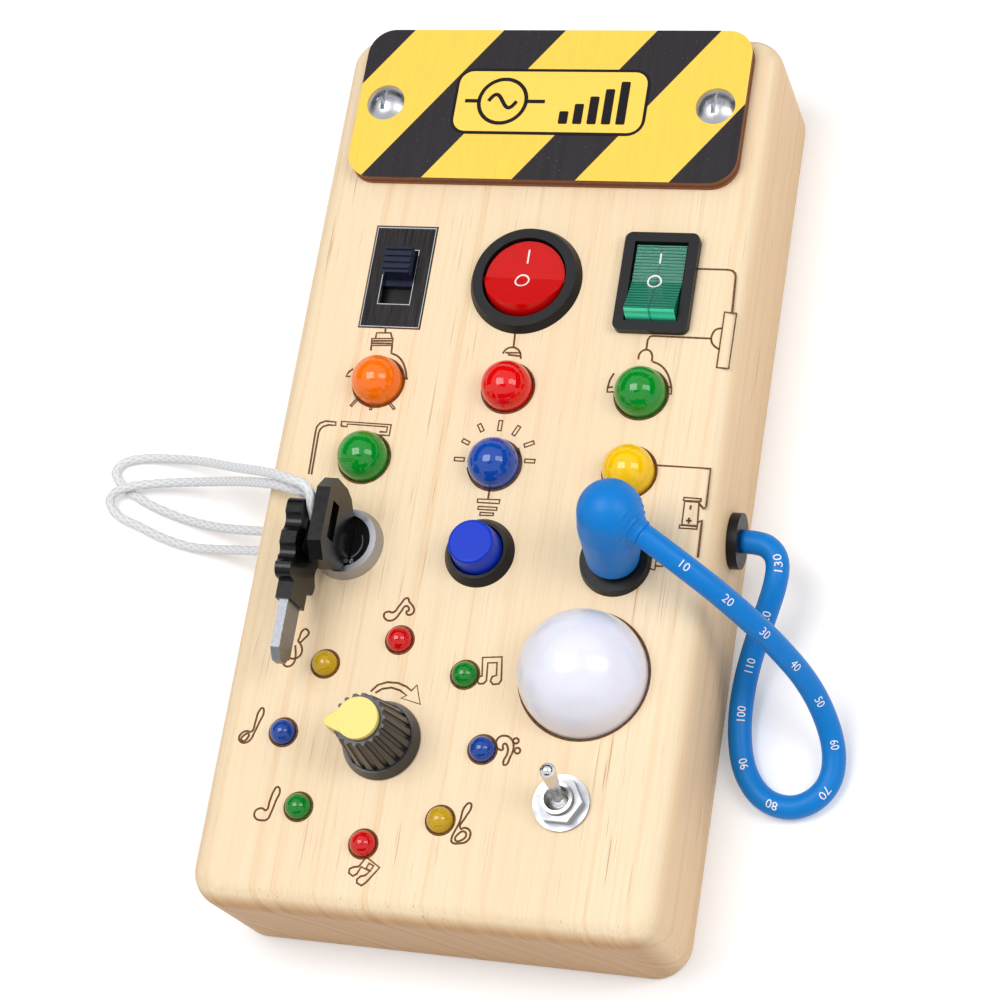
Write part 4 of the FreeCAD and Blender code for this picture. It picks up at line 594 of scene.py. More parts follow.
def make_finishes(colours):
    """Every finish by its name."""
    marks, wide_marks = (300.0, 300.0, 300.0), (260.0, 260.0, 260.0)
    ring_lamp_share = 0.8
    finishes = [
        pine(colours),
        striped_ply(colours),
        ply("ply", linear(226, 196, 150), linear(176, 128, 84))[0],
        dark_steel(),
        switch_body(),
        ribbed_green(),
        braid(colours),
        burnt(colours),
        metal("zinc", linear(178, 179, 184), 0.28, marks, 0.03),
        metal("chrome", linear(214, 215, 219), 0.12, marks, 0.03),
        metal("key_steel", linear(146, 148, 153), 0.45, (3000.0, 3000.0, 160.0)),
        metal("ring_silver", linear(176, 177, 183), 0.42, wide_marks, 0.03),
        plastic("moulded_black", linear(17, 17, 20), 0.42, Specular_IOR_Level=0.28),
        plastic("gloss_black", linear(9, 9, 10), 0.22, Specular_IOR_Level=0.25),
        plastic("navy", linear(16, 22, 50), 0.36, Specular_IOR_Level=0.3),
        plastic("cap_blue", tuple(colours.button), 0.36, scale=500.0, amount=0.02, Specular_IOR_Level=0.22),
        plastic("hose_blue", tuple(colours.hose), 0.42, scale=700.0, amount=0.03, Specular_IOR_Level=0.24),
        plastic("knob_grey", linear(36, 35, 38), 0.34, coat=0.1),
        plastic("cap_yellow", linear(240, 218, 124), 0.5, amount=0.02),
        plastic("mark_white", linear(238, 232, 232), 0.4),
        plastic("emblem_yellow", tuple(colours.hazard_yellow), 0.55, amount=0.02),
        plastic("emblem_black", tuple(v * 0.6 for v in colours.hazard_black), 0.6, Specular_IOR_Level=0.15),
        plastic("milky", linear(238, 233, 245), 0.2, coat=0.2, scale=300.0, amount=0.006,
                Subsurface_Weight=0.4, Subsurface_Scale=0.004),
        plastic("circuit", linear(24, 96, 52), 0.34),
        plastic("wire_red", linear(186, 28, 26), 0.4),
        plastic("cell_sleeve", linear(70, 74, 84), 0.3, coat=0.3),
        lens("red_glow", linear(206, 0, 3), depth=0.0015, rough=0.2, coat=0.03),
    ]
    for shade in ("orange", "red", "green", "blue", "yellow"):
        finishes.append(lens("lamp_" + shade, tuple(getattr(colours, shade))))
    for shade in ("red", "green", "blue"):
        dim = tuple(v * ring_lamp_share for v in getattr(colours, shade))
        finishes.append(lens("ring_" + shade, dim))
    finishes.append(lens("ring_yellow", linear(196, 158, 10)))
    return {material.name: material for material in finishes}


def finish_named(name):
    """A finish made by the finishes operator."""
    return bpy.data.materials[name]


def deselect():
    """Nothing selected, in object mode."""
    if bpy.context.object and bpy.context.object.mode != "OBJECT":
        bpy.ops.object.mode_set(mode="OBJECT")
    bpy.ops.object.select_all(action="DESELECT")


def settle(piece, name, finish, body):
    """Puts a finished piece's place into its mesh, smooths it, paints it and, given a body, sets it there."""
    deselect()
    piece.select_set(True)
    bpy.context.view_layer.objects.active = piece
    bpy.ops.object.transform_apply(location=True, rotation=True, scale=True)
    bpy.ops.object.shade_smooth_by_angle(angle=SHARP_TURN)
    piece.name = name
    piece.data.materials.clear()
    piece.data.materials.append(finish_named(finish))
    if body:
        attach(piece, body)
    piece.select_set(False)
    return piece


def slab(x, y, low, width, long, thick, corner=0.0):
    """A plate, its upright edges rounded if a corner is given."""
    deselect()
    bpy.ops.mesh.primitive_cube_add(size=1, location=(x, y, low + thick / 2), scale=(width, long, thick))
    piece = bpy.context.object
    bpy.ops.object.transform_apply(location=True, rotation=True, scale=True)
    if corner:
        bpy.ops.object.mode_set(mode="EDIT")
        bpy.ops.mesh.select_mode(type="EDGE")
        bpy.ops.mesh.select_all(action="DESELECT")
        for line in bmesh.from_edit_mesh(piece.data).edges:
            if abs(line.verts[0].co.z - line.verts[1].co.z) > thick / 2:
                line.select_set(True)
        bpy.ops.mesh.bevel(offset=corner, segments=6, affect="EDGES")
        bpy.ops.object.mode_set(mode="OBJECT")
    return piece


def join(pieces):
    """Several pieces as one."""
    deselect()
    for piece in pieces:
        piece.select_set(True)
    bpy.context.view_layer.objects.active = pieces[0]
    if len(pieces) > 1:
        bpy.ops.object.join()
    return bpy.context.object


def ray_corners(start, end, half):
    """Corners of a slim rectangle along a ray."""
    a, b = Vector(start), Vector(end)
    side = (b - a).normalized().orthogonal() * half
    return [tuple(a + side), tuple(b + side), tuple(b - side), tuple(a - side)]


def strokes(signs, height, width, relief):
    """Strokes drawn as one curve with a round section, made a mesh and pressed nearly flat."""
    deselect()
    bpy.ops.curve.primitive_bezier_curve_add(location=(0, 0, 0))
    piece = bpy.context.object
    curve = piece.data
    curve.splines.clear()
    curve.dimensions, curve.bevel_depth, curve.bevel_resolution = "3D", width / 2, 1
    curve.resolution_u, curve.use_fill_caps = 5, True
    for kind, points in signs:
        if kind in HALF_RAY:
            points = ray_corners(*points, HALF_RAY[kind])
        if kind in ("ring", "arc"):
            spline = curve.splines.new("BEZIER")
            spline.bezier_points.add(len(points) - 1)
            for knot, (x, y) in zip(spline.bezier_points, points):
                knot.co = (x * MM, y * MM, height)
                knot.handle_left_type = knot.handle_right_type = "AUTO"
        else:
            spline = curve.splines.new("POLY")
            spline.points.add(len(points) - 1)
            for knot, (x, y) in zip(spline.points, points):
                knot.co = (x * MM, y * MM, height, 1)
        spline.use_cyclic_u = kind not in ("line", "arc")
    bpy.ops.object.convert(target="MESH")
    piece = bpy.context.object
    bpy.ops.object.mode_set(mode="EDIT")
    bpy.ops.mesh.select_all(action="SELECT")
    bpy.ops.transform.resize(value=(1, 1, 2 * relief / width), center_override=(0, 0, height))
    bpy.ops.object.mode_set(mode="OBJECT")
    return piece


def drape(piece, node, height):
    """Sets a flat mark on a node's upper surface, keeping its own thickness."""
    base = frame["nodes"][node]
    for vertex in piece.data.vertices:
        above = Vector((vertex.co.x, vertex.co.y, DROP_HEIGHT))
        hit, spot, _, _ = base.ray_cast(above, Vector((0, 0, -1)))
        if hit:
            vertex.co.z = spot.z + vertex.co.z - height
    piece.data.update()
    return piece


def circle(x, y, radius, count=16):
    """Points round a circle, in millimetres."""
    return [(x + radius * math.cos(i * math.tau / count), y + radius * math.sin(i * math.tau / count))
            for i in range(count)]


def route_line(route):
    """Points read from the smooth line through a cord's route."""
    curve = bpy.data.curves.new("route", "CURVE")
    curve.dimensions, curve.resolution_u = "3D", 24
    spline = curve.splines.new("NURBS")
    spline.points.add(len(route) - 1)
    for point, place in zip(spline.points, route):
        point.co = (*place, 1)
    spline.order_u = 3
    spline.use_endpoint_u = True
    carrier = bpy.data.objects.new("route", curve)
    mesh = bpy.data.meshes.new_from_object(carrier)
    line = np.array([vertex.co for vertex in mesh.vertices])
    for data, block in ((bpy.data.objects, carrier), (bpy.data.curves, curve), (bpy.data.meshes, mesh)):
        data.remove(block)
    return line


def evenly(line, step):
    """The same line with points a step apart, and how far along each is."""
    run = np.concatenate([[0], np.cumsum(np.linalg.norm(np.diff(line, axis=0), axis=1))])
    marks = np.linspace(0, run[-1], max(2, int(round(run[-1] / step)) + 1))
    return np.stack([np.interp(marks, run, line[:, i]) for i in range(3)], axis=1), marks


def tube(name, line, radius, around, step, relief=None):
    """A closed tube along a line, its radius changed by a relief of angle and length from 0 to 1."""
    points, marks = evenly(line, step)
    tangents = np.gradient(points, axis=0)
    tangents /= np.linalg.norm(tangents, axis=1)[:, None]
    side = np.cross(tangents[0], (0.0, 0.0, 1.0))
    side /= np.linalg.norm(side)
    angles = np.arange(around) * math.tau / around
    rings, shares = [], []
    for point, tangent, mark in zip(points, tangents, marks):
        side = side - tangent * side.dot(tangent)
        side /= np.linalg.norm(side)
        up = np.cross(tangent, side)
        share = relief(angles, mark) if relief else np.ones(around)
        reach = radius * (1 - BRAID_DEPTH + BRAID_DEPTH * share)
        rings.append(point + reach[:, None] * (np.cos(angles)[:, None] * side + np.sin(angles)[:, None] * up))
        shares.append(share)
    faces = [(i * around + j, i * around + (j + 1) % around, (i + 1) * around + (j + 1) % around,
              (i + 1) * around + j) for i in range(len(points) - 1) for j in range(around)]
    faces.append(tuple(reversed(range(around))))
    faces.append(tuple((len(points) - 1) * around + j for j in range(around)))
    mesh = bpy.data.meshes.new(name)
    mesh.from_pydata(np.concatenate(rings).tolist(), [], faces)
    # The relief is also kept on the points, where the braid's finish reads it for painted shade.
    mesh.attributes.new("relief", "FLOAT", "POINT").data.foreach_set(
        "value", np.concatenate(shares).astype(np.float32))
    piece = bpy.data.objects.new(name, mesh)
    bpy.context.scene.collection.objects.link(piece)
    for face in mesh.polygons:
        face.use_smooth = True
    return piece


def woven(angles, mark, carriers=6, pitch=0.0042):
    """Relief of a round braid: strands that cross over and under each other."""
    left = carriers * angles / math.tau + mark * carriers / pitch / 4
    right = carriers * angles / math.tau - mark * carriers / pitch / 4
    over = 0.5 + 0.5 * np.cos(math.pi * (left + right))
    first = np.abs(np.cos(math.pi * left)) * over
    second = np.abs(np.cos(math.pi * right)) * (1 - over)
    return np.maximum(first, second)


class Make:
    """What the operators that build pieces share."""
    bl_options = {"REGISTER", "UNDO"}

    @property
    def sizes(self):
        return bpy.context.scene.board_sizes

    @property
    def colours(self):
        return bpy.context.scene.board_colours


class BUSYBOARD_OT_finishes(Make, bpy.types.Operator):
    """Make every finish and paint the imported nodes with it"""
    bl_idname = "busyboard.finishes"
    bl_label = "Finishes"

    def execute(self, context):
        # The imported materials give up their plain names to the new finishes
        for material in bpy.data.materials:
            material.name = "packed_" + material.name
        finishes = make_finishes(self.colours)
        for finish, nodes in FINISH_NODES.items():
            for node in nodes:
                for slot in frame["nodes"][node].material_slots:
                    slot.material = finishes[finish]
        return {"FINISHED"}


class BUSYBOARD_OT_stage(Make, bpy.types.Operator):
    """Add the camera, the two softboxes, the dark cards, the white floor and the even light"""
    bl_idname = "busyboard.stage"
    bl_label = "Stage"

    # The camera's own axes and place, its lens in millimetres and the nearest thing that it sees
    right = Vector((0.95059346, 0.15861598, -0.26685772))
    up = Vector((-0.05468803, 0.93173411, 0.35899967))
    back = Vector((0.30558353, -0.32666881, 0.89437475))
    eye = Vector((0.16539, -0.18308, 0.50485))
    lens, near = 99.27, 0.01

    # Power, shares of the camera's right and up in the way to it from the board, and width and height
    softboxes = {"softbox_left": ("key_power", -0.62, 0.42, (0.42, 0.5)),
                 "softbox_right": ("fill_power", 0.52, 0.34, (0.3, 0.5))}
    softbox_distance = 0.85

    # Way from the origin to each dark card, and its width and height
    cards = (((0.05, -0.35, 1.0), (0.30, 0.12)), ((-0.9, 0.5, 0.5), (0.9, 0.35)),
             ((1.0, 0.35, 0.45), (0.9, 0.3)), ((0.0, 1.0, 0.55), (0.8, 0.3)),
             ((0.1, -1.0, 0.4), (0.8, 0.25)))
    card_distance, card_black = 0.7, (0.02, 0.02, 0.02, 1)

    floor_size, floor_white, floor_glow = 6, (0.9, 0.9, 0.91, 1), 0.2

    def softbox(self, name, way, power, size):
        """A soft rectangular lamp that looks at the board's front."""
        deselect()
        way = way.normalized()
        bpy.ops.object.light_add(type="AREA", location=Vector((0, 0, FRONT)) + way * self.softbox_distance)
        lamp = bpy.context.object
        lamp.name = name
        lamp.rotation_mode = "QUATERNION"
        lamp.rotation_quaternion = way.to_track_quat("Z", "Y")
        lamp.data.energy, lamp.data.shape, lamp.data.size, lamp.data.size_y = power, "RECTANGLE", *size

    def execute(self, context):
        camera = bpy.data.objects.new("camera", bpy.data.cameras.new("camera"))
        context.scene.collection.objects.link(camera)
        turn = Matrix((self.right, self.up, self.back)).transposed().to_4x4()
        camera.matrix_world = Matrix.Translation(self.eye) @ turn
        camera.data.lens, camera.data.clip_start = self.lens, self.near
        context.scene.camera = camera
        for name, (power, across, above, size) in self.softboxes.items():
            way = self.back + self.right * across + self.up * above
            self.softbox(name, way, getattr(context.scene.studio, power), size)
        for way, size in self.cards:
            self.card(way, size)
        deselect()
        bpy.ops.mesh.primitive_plane_add(size=self.floor_size, location=(0, 0, 0))
        floor = context.object
        floor.name = "floor"
        floor.data.materials.append(self.floor_finish())
        self.light_world(context)
        context.scene.view_settings.view_transform = "Standard"
        return {"FINISHED"}

    def card(self, way, size):
        """A dark card that only gloss sees, so that bright metal has dark reflections too."""
        deselect()
        way = Vector(way).normalized()
        bpy.ops.mesh.primitive_plane_add(size=1, location=way * self.card_distance)
        card = bpy.context.object
        card.name = "flag"
        card.rotation_mode = "QUATERNION"
        card.rotation_quaternion = way.to_track_quat("Z", "Y")
        card.scale = (*size, 1)
        card.visible_camera = card.visible_diffuse = card.visible_shadow = card.visible_transmission = False
        material, _, shader = start_finish("flag_black", Roughness=1.0, Specular_IOR_Level=0.0)
        shader.inputs["Base Color"].default_value = self.card_black
        card.data.materials.append(material)

    def seen(self, tree):
        """1 where the floor or the world is seen straight, in gloss or through glass."""
        path = add(tree, "ShaderNodeLightPath").outputs
        total = maths(tree, "ADD", path["Is Camera Ray"], path["Is Glossy Ray"])
        return maths(tree, "MINIMUM", maths(tree, "ADD", total, path["Is Transmission Ray"]), 1.0)

    def floor_finish(self):
        """White floor that keeps shadows and glows a little where it is seen."""
        material, tree, shader = start_finish("white_floor", Roughness=1.0, Specular_IOR_Level=0.0)
        shader.inputs["Base Color"].default_value = self.floor_white
        tree.links.new(add(tree, "ShaderNodeCombineColor", {0: 1.0, 1: 1.0, 2: 1.0}).outputs[0],
                       shader.inputs["Emission Color"])
        glow = maths(tree, "MULTIPLY", self.seen(tree), self.floor_glow)
        tree.links.new(glow, shader.inputs["Emission Strength"])
        return material

    def light_world(self, context):
        """Even light, with a white world where it is seen."""
        world = context.scene.world or bpy.data.worlds.new("studio")
        context.scene.world = world
        world.use_nodes = True
        tree = world.node_tree
        shader = tree.nodes["Background"]
        shader.inputs["Color"].default_value = (1, 1, 1, 1)
        ambient = context.scene.studio.ambient
        tree.links.new(spread(tree, self.seen(tree), 0.0, 1.0, ambient, 1.0), shader.inputs["Strength"])


class BUSYBOARD_OT_hose(Make, bpy.types.Operator):
    """Lay the blue hose from the plug to the grommet"""
    bl_idname = "busyboard.hose"
    bl_label = "Hose"

    sides, step = 32, 0.001

    def execute(self, context):
        line = route_line(HOSE_ROUTE)
        hose = tube("blue_hose", line, self.sizes.hose_radius, self.sides, self.step)
        hose.data.materials.append(finish_named("hose_blue"))
        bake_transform(hose)
        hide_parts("hose")
        return {"FINISHED"}


class BUSYBOARD_OT_hose_numbers(Make, bpy.types.Operator):
    """Print plain length numbers along the hose, ten millimetres apart"""
    bl_idname = "busyboard.hose_numbers"
    bl_label = "Hose numbers"

    gap, count, size, lift, step = 0.010, 13, 0.0023, 0.00005, 0.0004
    cuts, cut_gap = range(-4, 5), size / 11

    # Way to the camera, which the numbers face
    seen_from = np.array((0.30558, -0.32667, 0.89437))

    def number(self, words):
        """One number as a flat mesh, cut across so that it can bend round the hose."""
        deselect()
        bpy.ops.object.text_add(location=(0, 0, 0))
        text = bpy.context.object
        text.data.body, text.data.size, text.data.resolution_u = words, self.size, 3
        text.data.align_x = text.data.align_y = "CENTER"
        bpy.ops.object.convert(target="MESH")
        bpy.ops.object.mode_set(mode="EDIT")
        for i in self.cuts:
            bpy.ops.mesh.select_all(action="SELECT")
            bpy.ops.mesh.bisect(plane_co=(0, i * self.cut_gap, 0), plane_no=(0, 1, 0))
        bpy.ops.object.mode_set(mode="OBJECT")
        return bpy.context.object

    def execute(self, context):
        radius = self.sizes.hose_radius
        points, marks = evenly(route_line(HOSE_ROUTE), self.step)
        tangents = np.gradient(points, axis=0)
        tangents /= np.linalg.norm(tangents, axis=1)[:, None]
        numbers = []
        for i in range(1, self.count + 1):
            piece = self.number(str(10 * i))
            for vertex in piece.data.vertices:
                along = i * self.gap + vertex.co.x
                centre, tangent = (np.array([np.interp(along, marks, way[:, axis]) for axis in range(3)])
                                   for way in (points, tangents))
                out = self.seen_from - tangent * self.seen_from.dot(tangent)
                out /= np.linalg.norm(out)
                angle = vertex.co.y / radius
                vertex.co = centre + (radius + self.lift) * (math.cos(angle) * out
                                                             + math.sin(angle) * np.cross(out, tangent))
            numbers.append(piece)
        piece = settle(join(numbers), "hose_numbers", "mark_white", None)
        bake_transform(piece)
        return {"FINISHED"}


class BUSYBOARD_OT_spring(Make, bpy.types.Operator):
    """Wind the push button's return spring"""
    bl_idname = "busyboard.spring"
    bl_label = "Button spring"

    wire, wire_sides, turns, steps_a_turn, travel = 0.00035, 10, 6, 28, 0.0025

    def execute(self, context):
        low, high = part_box("push_button_spring")
        centre, tall = (low + high) / 2, high.z - low.z
        deselect()
        bpy.ops.mesh.primitive_circle_add(vertices=self.wire_sides, radius=self.wire,
                                          location=((high.x - low.x) / 2 - self.wire, 0, 0),
                                          rotation=(math.pi / 2, 0, 0))
        coil = context.object
        bpy.ops.object.transform_apply(location=True, rotation=True, scale=True)
        wind = coil.modifiers.new("wind", "SCREW")
        wind.steps = wind.render_steps = self.steps_a_turn
        wind.iterations, wind.screw_offset = self.turns, (tall - 2 * self.wire) / self.turns
        bpy.ops.object.modifier_apply(modifier=wind.name)
        bpy.ops.object.mode_set(mode="EDIT")
        bpy.ops.mesh.select_all(action="SELECT")
        bpy.ops.mesh.remove_doubles(threshold=0.000001)
        bpy.ops.mesh.fill_holes(sides=self.wire_sides)
        bpy.ops.mesh.normals_make_consistent(inside=False)
        bpy.ops.object.mode_set(mode="OBJECT")
        coil.location = (centre.x, centre.y, low.z + self.wire)
        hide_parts("push_button_spring")
        settle(coil, "button_spring", "zinc", "board")
        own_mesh(coil)
        return {"FINISHED"}


class BUSYBOARD_OT_key_cords(Make, bpy.types.Operator):
    """Lay the braided cord of the keys and the loop through their heads"""
    bl_idname = "busyboard.key_cords"
    bl_label = "Key cords"

    sides, step, overlap = 24, 0.00032, 0.0005

    def lay(self, name, route, node, overlap=0.0):
        """A braided cord along a route, run on by an overlap into the cord that it meets at each end."""
        line = route_line(route)
        ends = [line[at] + overlap * (line[at] - line[by]) / np.linalg.norm(line[at] - line[by])
                for at, by in ((0, 1), (-1, -2))]
        core = np.vstack([ends[0], line[1:-1], ends[1]])
        cord = tube(name, core, self.sizes.cord_radius, self.sides, self.step, woven)
        cord.data.materials.append(finish_named("braid"))
        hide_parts(node)
        return cord, line

    def execute(self, context):
        cord, line = self.lay("braided_cord", KEY_CORD_ROUTE, "key_cord")
        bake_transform(cord)
        loop, loop_line = self.lay("braided_loop", KEY_LOOP_ROUTE, "key_cord_loop", self.overlap)
        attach(loop, "key")
        return {"FINISHED"}


class BUSYBOARD_OT_burnt_signs(Make, bpy.types.Operator):
    """Burn the lamp, wire and note signs into the front face"""
    bl_idname = "busyboard.burnt_signs"
    bl_label = "Burnt signs"

    signs = {"lamp_signs": LAMP_SIGNS, "wire_signs": WIRE_SIGNS, "note_signs": NOTE_SIGNS}

    def execute(self, context):
        for name, signs in self.signs.items():
            piece = strokes(signs, FRONT, self.sizes.burn_width, self.sizes.burn_relief)
            settle(piece, name, "burnt", "board")
        return {"FINISHED"}


class BUSYBOARD_OT_hole_rims(Make, bpy.types.Operator):
    """Burn the rims of the round holes for the lamps and the dome"""
    bl_idname = "busyboard.hole_rims"
    bl_label = "Hole rims"

    # Places and radii in millimetres: six big lamps in rows, eight small ones in a ring, and the dome
    columns, rows, big = (-26.1, 0.9, 27.9), (13.7, -2.5), 5.32
    ring_count, ring, small = 8, 20.0, 2.78
    dome, dome_rim, dome_points = (25.2, -43.4), 12.6, 32

    def execute(self, context):
        rims = [("ring", circle(x, y, self.big)) for x in self.columns for y in self.rows]
        round_knob = circle(*KNOB_AXIS, self.ring, self.ring_count)
        rims += [("ring", circle(x, y, self.small)) for x, y in round_knob]
        rims.append(("ring", circle(*self.dome, self.dome_rim, self.dome_points)))
        piece = strokes(rims, FRONT, self.sizes.burn_width, self.sizes.burn_relief)
        settle(piece, "hole_rims", "burnt", "board")
        return {"FINISHED"}


class BUSYBOARD_OT_switch_trim(Make, bpy.types.Operator):
    """Run the bright cut edges round the slide switch's plate and its window"""
    bl_idname = "busyboard.switch_trim"
    bl_label = "Switch trim"

    # Half the window's sides and the outer line's distance from the plate's edge, in millimetres
    window, inset = (3.42, 6.02), 0.22
    width, relief = 0.0004, 0.00008

    def execute(self, context):
        low, high = (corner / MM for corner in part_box("slide_switch_plate"))
        x, y = (low.x + high.x) / 2, (low.y + high.y) / 2
        outer = ((high.x - low.x) / 2 - self.inset, (high.y - low.y) / 2 - self.inset)
        signs = [("loop", [(x - w, y - h), (x + w, y - h), (x + w, y + h), (x - w, y + h)])
                 for w, h in (outer, self.window)]
        piece = strokes(signs, high.z * MM, self.width, self.relief)
        settle(piece, "switch_trim", "chrome", "board")
        return {"FINISHED"}


class BUSYBOARD_OT_plug_cover(Make, bpy.types.Operator):
    """Swell the plug's rubber boot, with stepped rings where the hose leaves it"""
    bl_idname = "busyboard.plug_cover"
    bl_label = "Plug boot"

    foot = Vector((0.0279, -0.0207, 0.0324))
    crown = Vector((0.0303, -0.0169, 0.0470))
    crown_radius, foot_radius, waist_radius, waist_share = 0.0062, 0.0050, 0.0063, 0.72
    sides = 64

    # Radius of each ring, and how far it reaches from the crown along the hose
    steps = ((0.0056, 0.0034), (0.0048, 0.0045), (0.0040, 0.0054), (0.0032, 0.0061), (0.0028, 0.0072))
    ring_relief, voxel, smoothing, smoothings = 0.0002, 0.00024, 0.5, 2

    def cone(self, start, end, first, last):
        """A cone from one point to another, with its radius at each."""
        way = end - start
        bpy.ops.mesh.primitive_cone_add(vertices=self.sides, radius1=first, radius2=last, depth=way.length,
                                        location=(start + end) / 2,
                                        rotation=way.to_track_quat("Z", "Y").to_euler())
        return bpy.context.object

    def execute(self, context):
        deselect()
        waist = self.foot.lerp(self.crown, self.waist_share)
        pieces = [self.cone(self.foot, waist, self.foot_radius, self.waist_radius),
                  self.cone(waist, self.crown, self.waist_radius, self.crown_radius)]
        bpy.ops.mesh.primitive_uv_sphere_add(segments=self.sides, ring_count=self.sides // 2,
                                             radius=self.crown_radius, location=self.crown)
        pieces.append(context.object)
        way = (Vector(HOSE_ROUTE[0]) - self.crown).normalized()
        for radius, reach in self.steps:
            pieces.append(self.cone(self.crown, self.crown + way * reach, radius, radius - self.ring_relief))
        boot = join(pieces)
        melt = boot.modifiers.new("melt", "REMESH")
        melt.mode, melt.voxel_size = "VOXEL", self.voxel
        bpy.ops.object.modifier_apply(modifier=melt.name)
        soften = boot.modifiers.new("soften", "SMOOTH")
        soften.factor, soften.iterations = self.smoothing, self.smoothings
        bpy.ops.object.modifier_apply(modifier=soften.name)
        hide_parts("plug_boot")
        settle(boot, "plug_cover", "hose_blue", "plug")
        return {"FINISHED"}


class BUSYBOARD_OT_emblem(Make, bpy.types.Operator):
    """Raise a plain emblem on the plate: a wave in a ring, its leads, and a rising scale"""
    bl_idname = "busyboard.emblem"
    bl_label = "Plate emblem"

    # Height of each layer and how far it is sunk into the plate, in metres
    layer, sunk = 0.00006, 0.00002

    # All else in millimetres, from the emblem's middle
    centre, border, ground_corner, field_corner = (0.4, 75.3), 1.3, 3.6, 2.8
    bars, bar_start, bar_gap, bar_foot, bar_width, bar_corner = 5, 3.4, 3.0, -5.0, 1.9, 0.3
    bar_height, bar_rise = 2.86, 1.705
    ring_aside, ring_radius, lead_left, lead_right = -10.0, 5.0, 8.0, 9.0
    wave_steps, wave_half, wave_height = 12, 3.0, 1.5
    line_width, line_relief = 0.0008, 0.00003

    def sheets(self, sheet, specs, name, finish):
        """Thin plates in one layer: middle, width, length and corner radius of each."""
        pieces = [slab((self.centre[0] + x) * MM, (self.centre[1] + y) * MM, PLATE_TOP - self.sunk,
                       width * MM, long * MM, self.sunk + self.layer * sheet, corner * MM)
                  for x, y, width, long, corner in specs]
        settle(join(pieces), name, finish, "board")

    def scale_bars(self):
        """Bars on one foot, each taller than the last."""
        bars = []
        for i in range(self.bars):
            tall = self.bar_height + self.bar_rise * i
            bars.append((self.bar_start + self.bar_gap * i, self.bar_foot + tall / 2, self.bar_width, tall,
                         self.bar_corner))
        return bars

    def execute(self, context):
        width, long = self.sizes.emblem_width / MM, self.sizes.emblem_length / MM
        self.sheets(1, [(0, 0, width, long, self.ground_corner)], "emblem_ground", "emblem_black")
        self.sheets(2, [(0, 0, width - self.border, long - self.border, self.field_corner)], "emblem_field",
                    "emblem_yellow")
        self.sheets(3, self.scale_bars(), "emblem_scale", "emblem_black")
        x, y, radius = self.centre[0] + self.ring_aside, self.centre[1], self.ring_radius
        wave = [(x + self.wave_half * (2 * i / self.wave_steps - 1),
                 y + self.wave_height * math.sin(i * math.tau / self.wave_steps))
                for i in range(self.wave_steps + 1)]
        signs = [("ring", circle(x, y, radius)), ("arc", wave),
                 ("line", [(x + radius, y), (x + self.lead_right, y)]),
                 ("line", [(x - radius, y), (x - self.lead_left, y)])]
        piece = strokes(signs, PLATE_TOP + 3 * self.layer, self.line_width, self.line_relief)
        settle(piece, "emblem_wave", "emblem_black", "board")
        return {"FINISHED"}


class BUSYBOARD_OT_rocker_marks(Make, bpy.types.Operator):
    """Print the on and off marks on both rockers"""
    bl_idname = "busyboard.rocker_marks"
    bl_label = "Rocker marks"

    # Node and body, then the middle of the line and of the ring, half the line and the ring's radius, in
    # millimetres
    marks = (("round_rocker_button", "round_rocker", (0.9, 41.6), (0.5, 36.2), 1.5, 1.35),
             ("square_rocker_button", "square_rocker", (27.9, 42.0), (27.4, 37.0), 1.1, 1.3))
    ring_points, width, relief = 12, 0.00034, 0.00004

    def execute(self, context):
        for node, body, (x, y), ring, half_line, radius in self.marks:
            signs = [("line", [(x, y - half_line), (x, y + half_line)]),
                     ("ring", circle(*ring, radius, self.ring_points))]
            piece = drape(strokes(signs, FRONT, self.width, self.relief), node, FRONT)
            settle(piece, node + "_marks", "mark_white", body)
        return {"FINISHED"}


class BUSYBOARD_OT_knob_pointer(Make, bpy.types.Operator):
    """Lay the knob's pointer across its top and down its side"""
    bl_idname = "busyboard.knob_pointer"
    bl_label = "Knob pointer"

    # Distance of each half from the knob's axis, its width, length and thickness, how far its foot lies
    # below the knob's top, and the share of its length that is left at its narrow end
    beak, beak_drop, beak_narrow = (0.0045, 0.0040, 0.0058, 0.0015), 0.0004, 0.22
    side, side_drop, side_narrow = (0.00575, 0.0017, 0.0013, 0.0072), 0.0066, 0.45

    # The side's corners below this depth move out with the knob's slope
    foot_depth, foot_out = 0.003, 0.00055
    edge, edge_steps, angle = 0.00025, 3, math.radians(190)

    def execute(self, context):
        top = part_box("knob")[1].z
        out, width, long, thick = self.beak
        beak = slab(out, 0, top - self.beak_drop, width, long, thick)
        for vertex in beak.data.vertices:
            if vertex.co.x > out:
                vertex.co.y *= self.beak_narrow
        out, width, long, thick = self.side
        side = slab(out, 0, top - self.side_drop, width, long, thick)
        for vertex in side.data.vertices:
            if vertex.co.z < top - self.foot_depth:
                vertex.co.x += self.foot_out
                vertex.co.y *= self.side_narrow
        bar = join([beak, side])
        bevel = bar.modifiers.new("edge", "BEVEL")
        bevel.width, bevel.segments = self.edge, self.edge_steps
        bpy.ops.object.modifier_apply(modifier=bevel.name)
        bar.rotation_euler.z = self.angle
        bar.location = (KNOB_AXIS[0] * MM, KNOB_AXIS[1] * MM, 0)
        settle(bar, "knob_pointer", "cap_yellow", "dial")
        return {"FINISHED"}


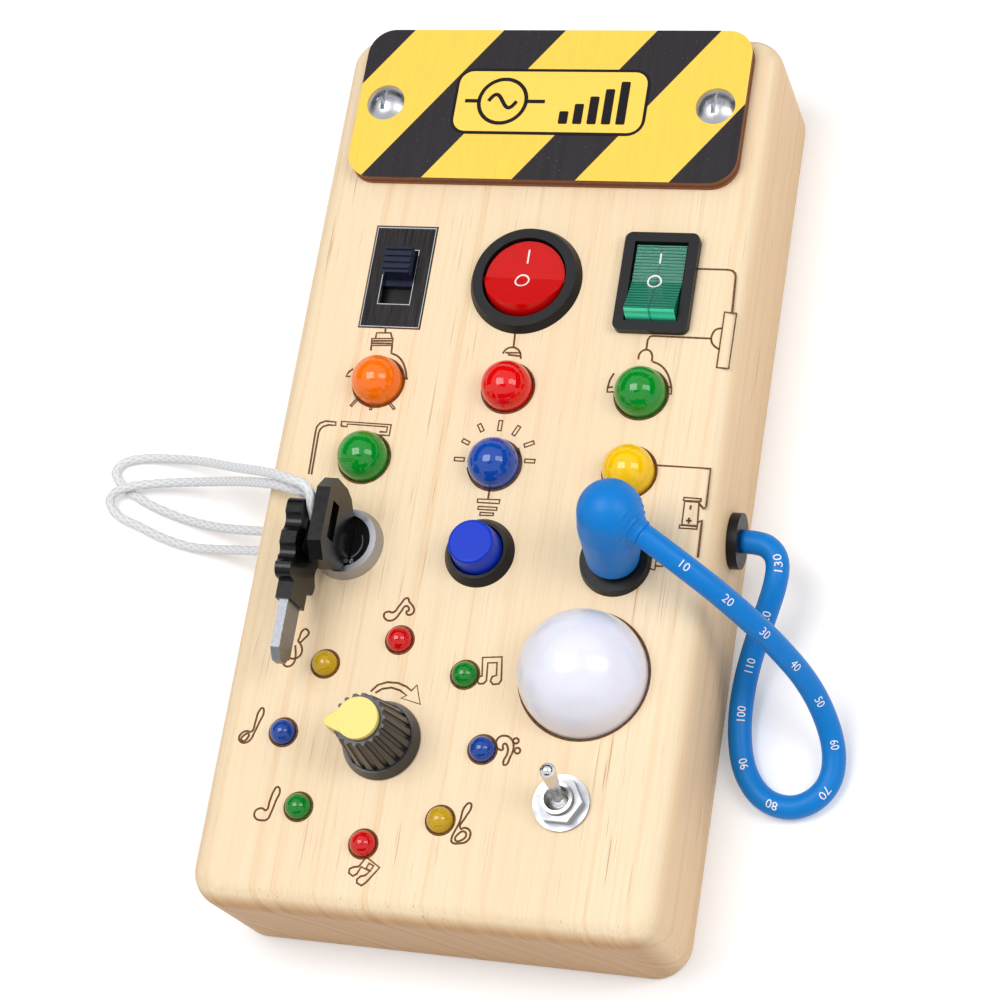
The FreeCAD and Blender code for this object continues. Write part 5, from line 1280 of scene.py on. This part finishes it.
class BUSYBOARD_OT_lock_marks(Make, bpy.types.Operator):
    """Set the bright arc and pin head on the lock's rotor"""
    bl_idname = "busyboard.lock_marks"
    bl_label = "Lock marks"

    # In millimetres from the lock's axis, apart from the strokes' width and relief
    arc_radius, arc_angles = 3.6, np.radians(np.linspace(-60, 25, 7))
    pin, pin_radius, pin_points = (1.9, -3.9), 0.3, 8
    width, relief = 0.0004, 0.00012

    def execute(self, context):
        x, y = LOCK_AXIS
        arc = [(x + self.arc_radius * math.cos(angle), y + self.arc_radius * math.sin(angle))
               for angle in self.arc_angles]
        pin = circle(x + self.pin[0], y + self.pin[1], self.pin_radius, self.pin_points)
        signs = [("arc", arc), ("ring", pin)]
        piece = drape(strokes(signs, FRONT, self.width, self.relief), "lock_rotor", FRONT)
        settle(piece, "lock_marks", "chrome", "key")
        return {"FINISHED"}


BUILD_ORDER = (
    "stage", "finishes", "plug_cover", "hose", "hose_numbers", "key_cords", "spring", "burnt_signs",
    "hole_rims", "switch_trim", "emblem", "rocker_marks", "knob_pointer", "lock_marks")


class BUSYBOARD_PT_panel(bpy.types.Panel):
    """Lists the settings and every step of the dressing"""
    bl_idname = "BUSYBOARD_PT_panel"
    bl_label = "Busy Board"
    bl_space_type = "VIEW_3D"
    bl_region_type = "UI"
    bl_category = "Busy Board"

    def draw(self, context):
        for group in (context.scene.board_sizes, context.scene.studio, context.scene.board_colours):
            box = self.layout.box()
            for name in group.__annotations__:
                box.prop(group, name)
        for step in BUILD_ORDER:
            self.layout.operator("busyboard." + step)


GROUPS = {"board_colours": BoardColours, "board_sizes": BoardSizes, "studio": StudioSettings}
CLASSES = (
    BUSYBOARD_OT_finishes, BUSYBOARD_OT_stage, BUSYBOARD_OT_hose, BUSYBOARD_OT_hose_numbers,
    BUSYBOARD_OT_spring, BUSYBOARD_OT_key_cords, BUSYBOARD_OT_burnt_signs, BUSYBOARD_OT_hole_rims,
    BUSYBOARD_OT_switch_trim, BUSYBOARD_OT_plug_cover, BUSYBOARD_OT_emblem, BUSYBOARD_OT_rocker_marks,
    BUSYBOARD_OT_knob_pointer, BUSYBOARD_OT_lock_marks, BUSYBOARD_PT_panel)


def register():
    """Adds the settings to the scene, and the operators and the panel to Blender."""
    for name, group in GROUPS.items():
        bpy.utils.register_class(group)
        setattr(bpy.types.Scene, name, bpy.props.PointerProperty(type=group))
    for kind in CLASSES:
        bpy.utils.register_class(kind)


def unregister():
    """Takes the panel, the operators and the settings away again."""
    for kind in reversed(CLASSES):
        bpy.utils.unregister_class(kind)
    for name, group in GROUPS.items():
        delattr(bpy.types.Scene, name)
        bpy.utils.unregister_class(group)


def main():
    """Makes every piece in order."""
    register()
    for step in BUILD_ORDER:
        getattr(bpy.ops.busyboard, step)()


if __name__ == "__main__":
    main()
